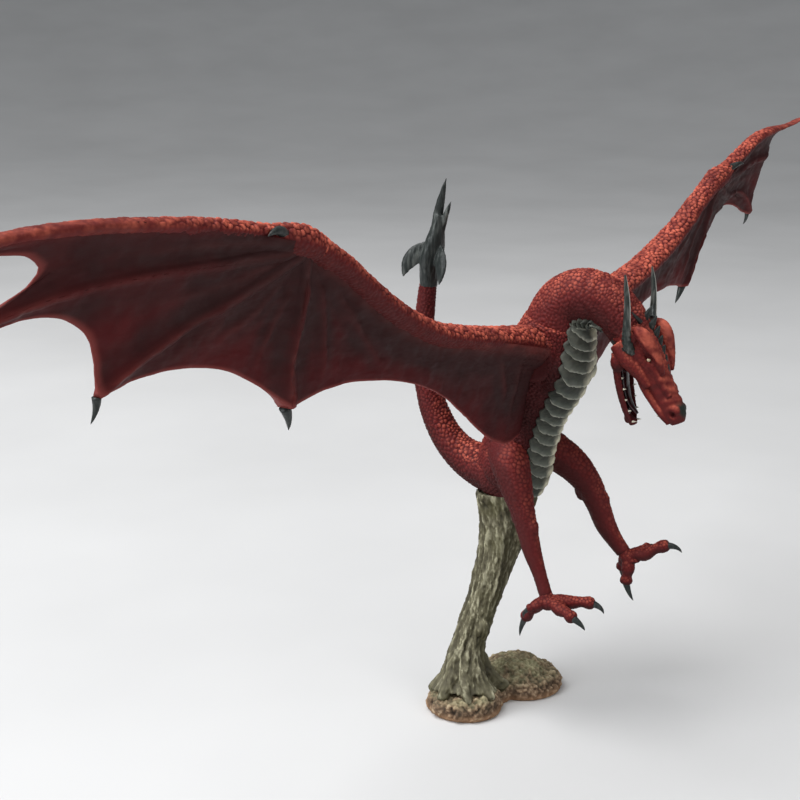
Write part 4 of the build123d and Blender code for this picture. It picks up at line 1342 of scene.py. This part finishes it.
# ---- the whole object ----------------------------------------------------------------------
def build():
    place("rocky_ground", ground(), STAND, "rock", ROCK, "ground_plate")
    place("bark_trunk", trunk(), STAND, "bark", BARK, "tree_trunk")
    chest, throat = torso(), neck()
    plates = belly_plates(join(chest, throat))
    pieces = [
        ("torso_hide", chest, "hide", HIDE, "torso"),
        ("neck_hide", throat, "hide", HIDE, "neck"),
        ("tail_hide", tail(), "hide", HIDE, "tail"),
        ("belly_plates", plates, "belly_plate", PLATE),
        ("tail_blade_horn", tail_blade(), "horn", CLAW, "tail_blade"),
        ("head_hide", head(), "hide", HIDE, "head"),
        ("forehead_crest", crest(), "horn", CLAW),
        ("eyes", eyes(), "eye", EYE),
        ("upper_teeth", upper_teeth(), "tooth", TOOTH),
        ("jaw_hide", lower_jaw(), "hide", HIDE, "lower_jaw"),
        ("mouth_lining", mouth_lining(), "mouth", MOUTH),
        ("lower_teeth", lower_teeth(), "tooth", TOOTH),
    ]
    for name, side in SIDES:
        pieces += [
            (f"{name}_horn_keratin", horn(side), "horn", HORN, f"{name}_horn"),
            (f"{name}_leg_hide", leg(name, side), "hide", HIDE, f"{name}_leg"),
            (f"{name}_foot_hide", foot(name), "hide", HIDE, f"{name}_foot"),
            (f"{name}_foot_claws", claws(name), "claw", CLAW),
        ]
    for name, shape, *others in pieces:
        place(name, shape, FIGURE, *others)
    wings()
    for node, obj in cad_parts.items():
        pin = node == "carry_pin"
        if pin or (node.endswith(("_rod", "_wire")) and "wrist" not in node):
            obj.data.materials.clear()
            obj.data.materials.append(STEEL if pin else BRASS)


# ---- floor, light and camera ---------------------------------------------------------------
def pale_floor():
    """Flat floor that rises softly far out, so no horizon shows. It is made in metres."""
    radii, sides = (0.4, 0.8, 1.2, 1.6, 2, 2.5, 3, 3.6, 4.3, 5), 96
    turns = [math.tau * k / sides for k in range(sides)]
    points, faces = [(0, 0, 0)], []
    for r in radii:
        points += [(r * math.cos(t), r * math.sin(t), 0.16 * max(r - 1.2, 0) ** 2) for t in turns]
    for k in range(sides):
        n = (k + 1) % sides
        faces.append((0, 1 + k, 1 + n))
        for a in range(1, (len(radii) - 1) * sides, sides):
            faces.append((a + k, a + sides + k, a + sides + n, a + n))
    p = Paint("floor", 0.8, 0.1)
    paint = p.finish(p.ramp(p.noise(120, 3), (0.3, 0.60), (0.7, 0.65)))
    obj = smooth_mesh("floor", points, faces, paint)


def soft_light(name, place_at, size, power, colour):
    """Round lamp that shines at the dragon's middle."""
    lamp = bpy.data.lights.new(name, "AREA")
    lamp.shape = "DISK"
    lamp.size = size
    lamp.energy = power
    lamp.color = colour
    obj = add_object(name, lamp)
    obj.location = place_at
    way = Vector((0, -0.01, 0.09)) - Vector(place_at)
    obj.rotation_euler = way.to_track_quat("-Z", "Y").to_euler()


def studio():
    pale_floor()
    soft_light("key", (-0.30, 0.30, 1.05), 1, 14, (1, 1, 1))
    soft_light("front", (-0.25, -0.75, 0.60), 0.6, 2, (1, 0.98, 0.96))
    soft_light("left", (-0.85, 0.45, 0.45), 0.6, 4.5, (0.95, 0.97, 1))
    world = bpy.data.worlds.new("studio")
    world.use_nodes = True
    sky = world.node_tree.nodes["Background"].inputs
    sky["Color"].default_value = (0.62, 0.64, 0.66, 1)
    sky["Strength"].default_value = 0.42
    bpy.context.scene.world = world
    bpy.context.scene.view_settings.view_transform = "Standard"


def camera():
    """Looks from the dragon's right front, close enough to crop both wing tips."""
    heading, pitch = math.radians(-57), math.radians(14)
    data = bpy.data.cameras.new("camera")
    data.sensor_width = 36
    data.lens = 64.1
    data.clip_start = 0.01
    obj = add_object("camera", data)
    obj.location = (-0.31485, -0.17158, 0.16850)
    obj.rotation_euler = (math.pi / 2 - pitch, 0, heading)
    bpy.context.scene.camera = obj


build()
studio()
camera()
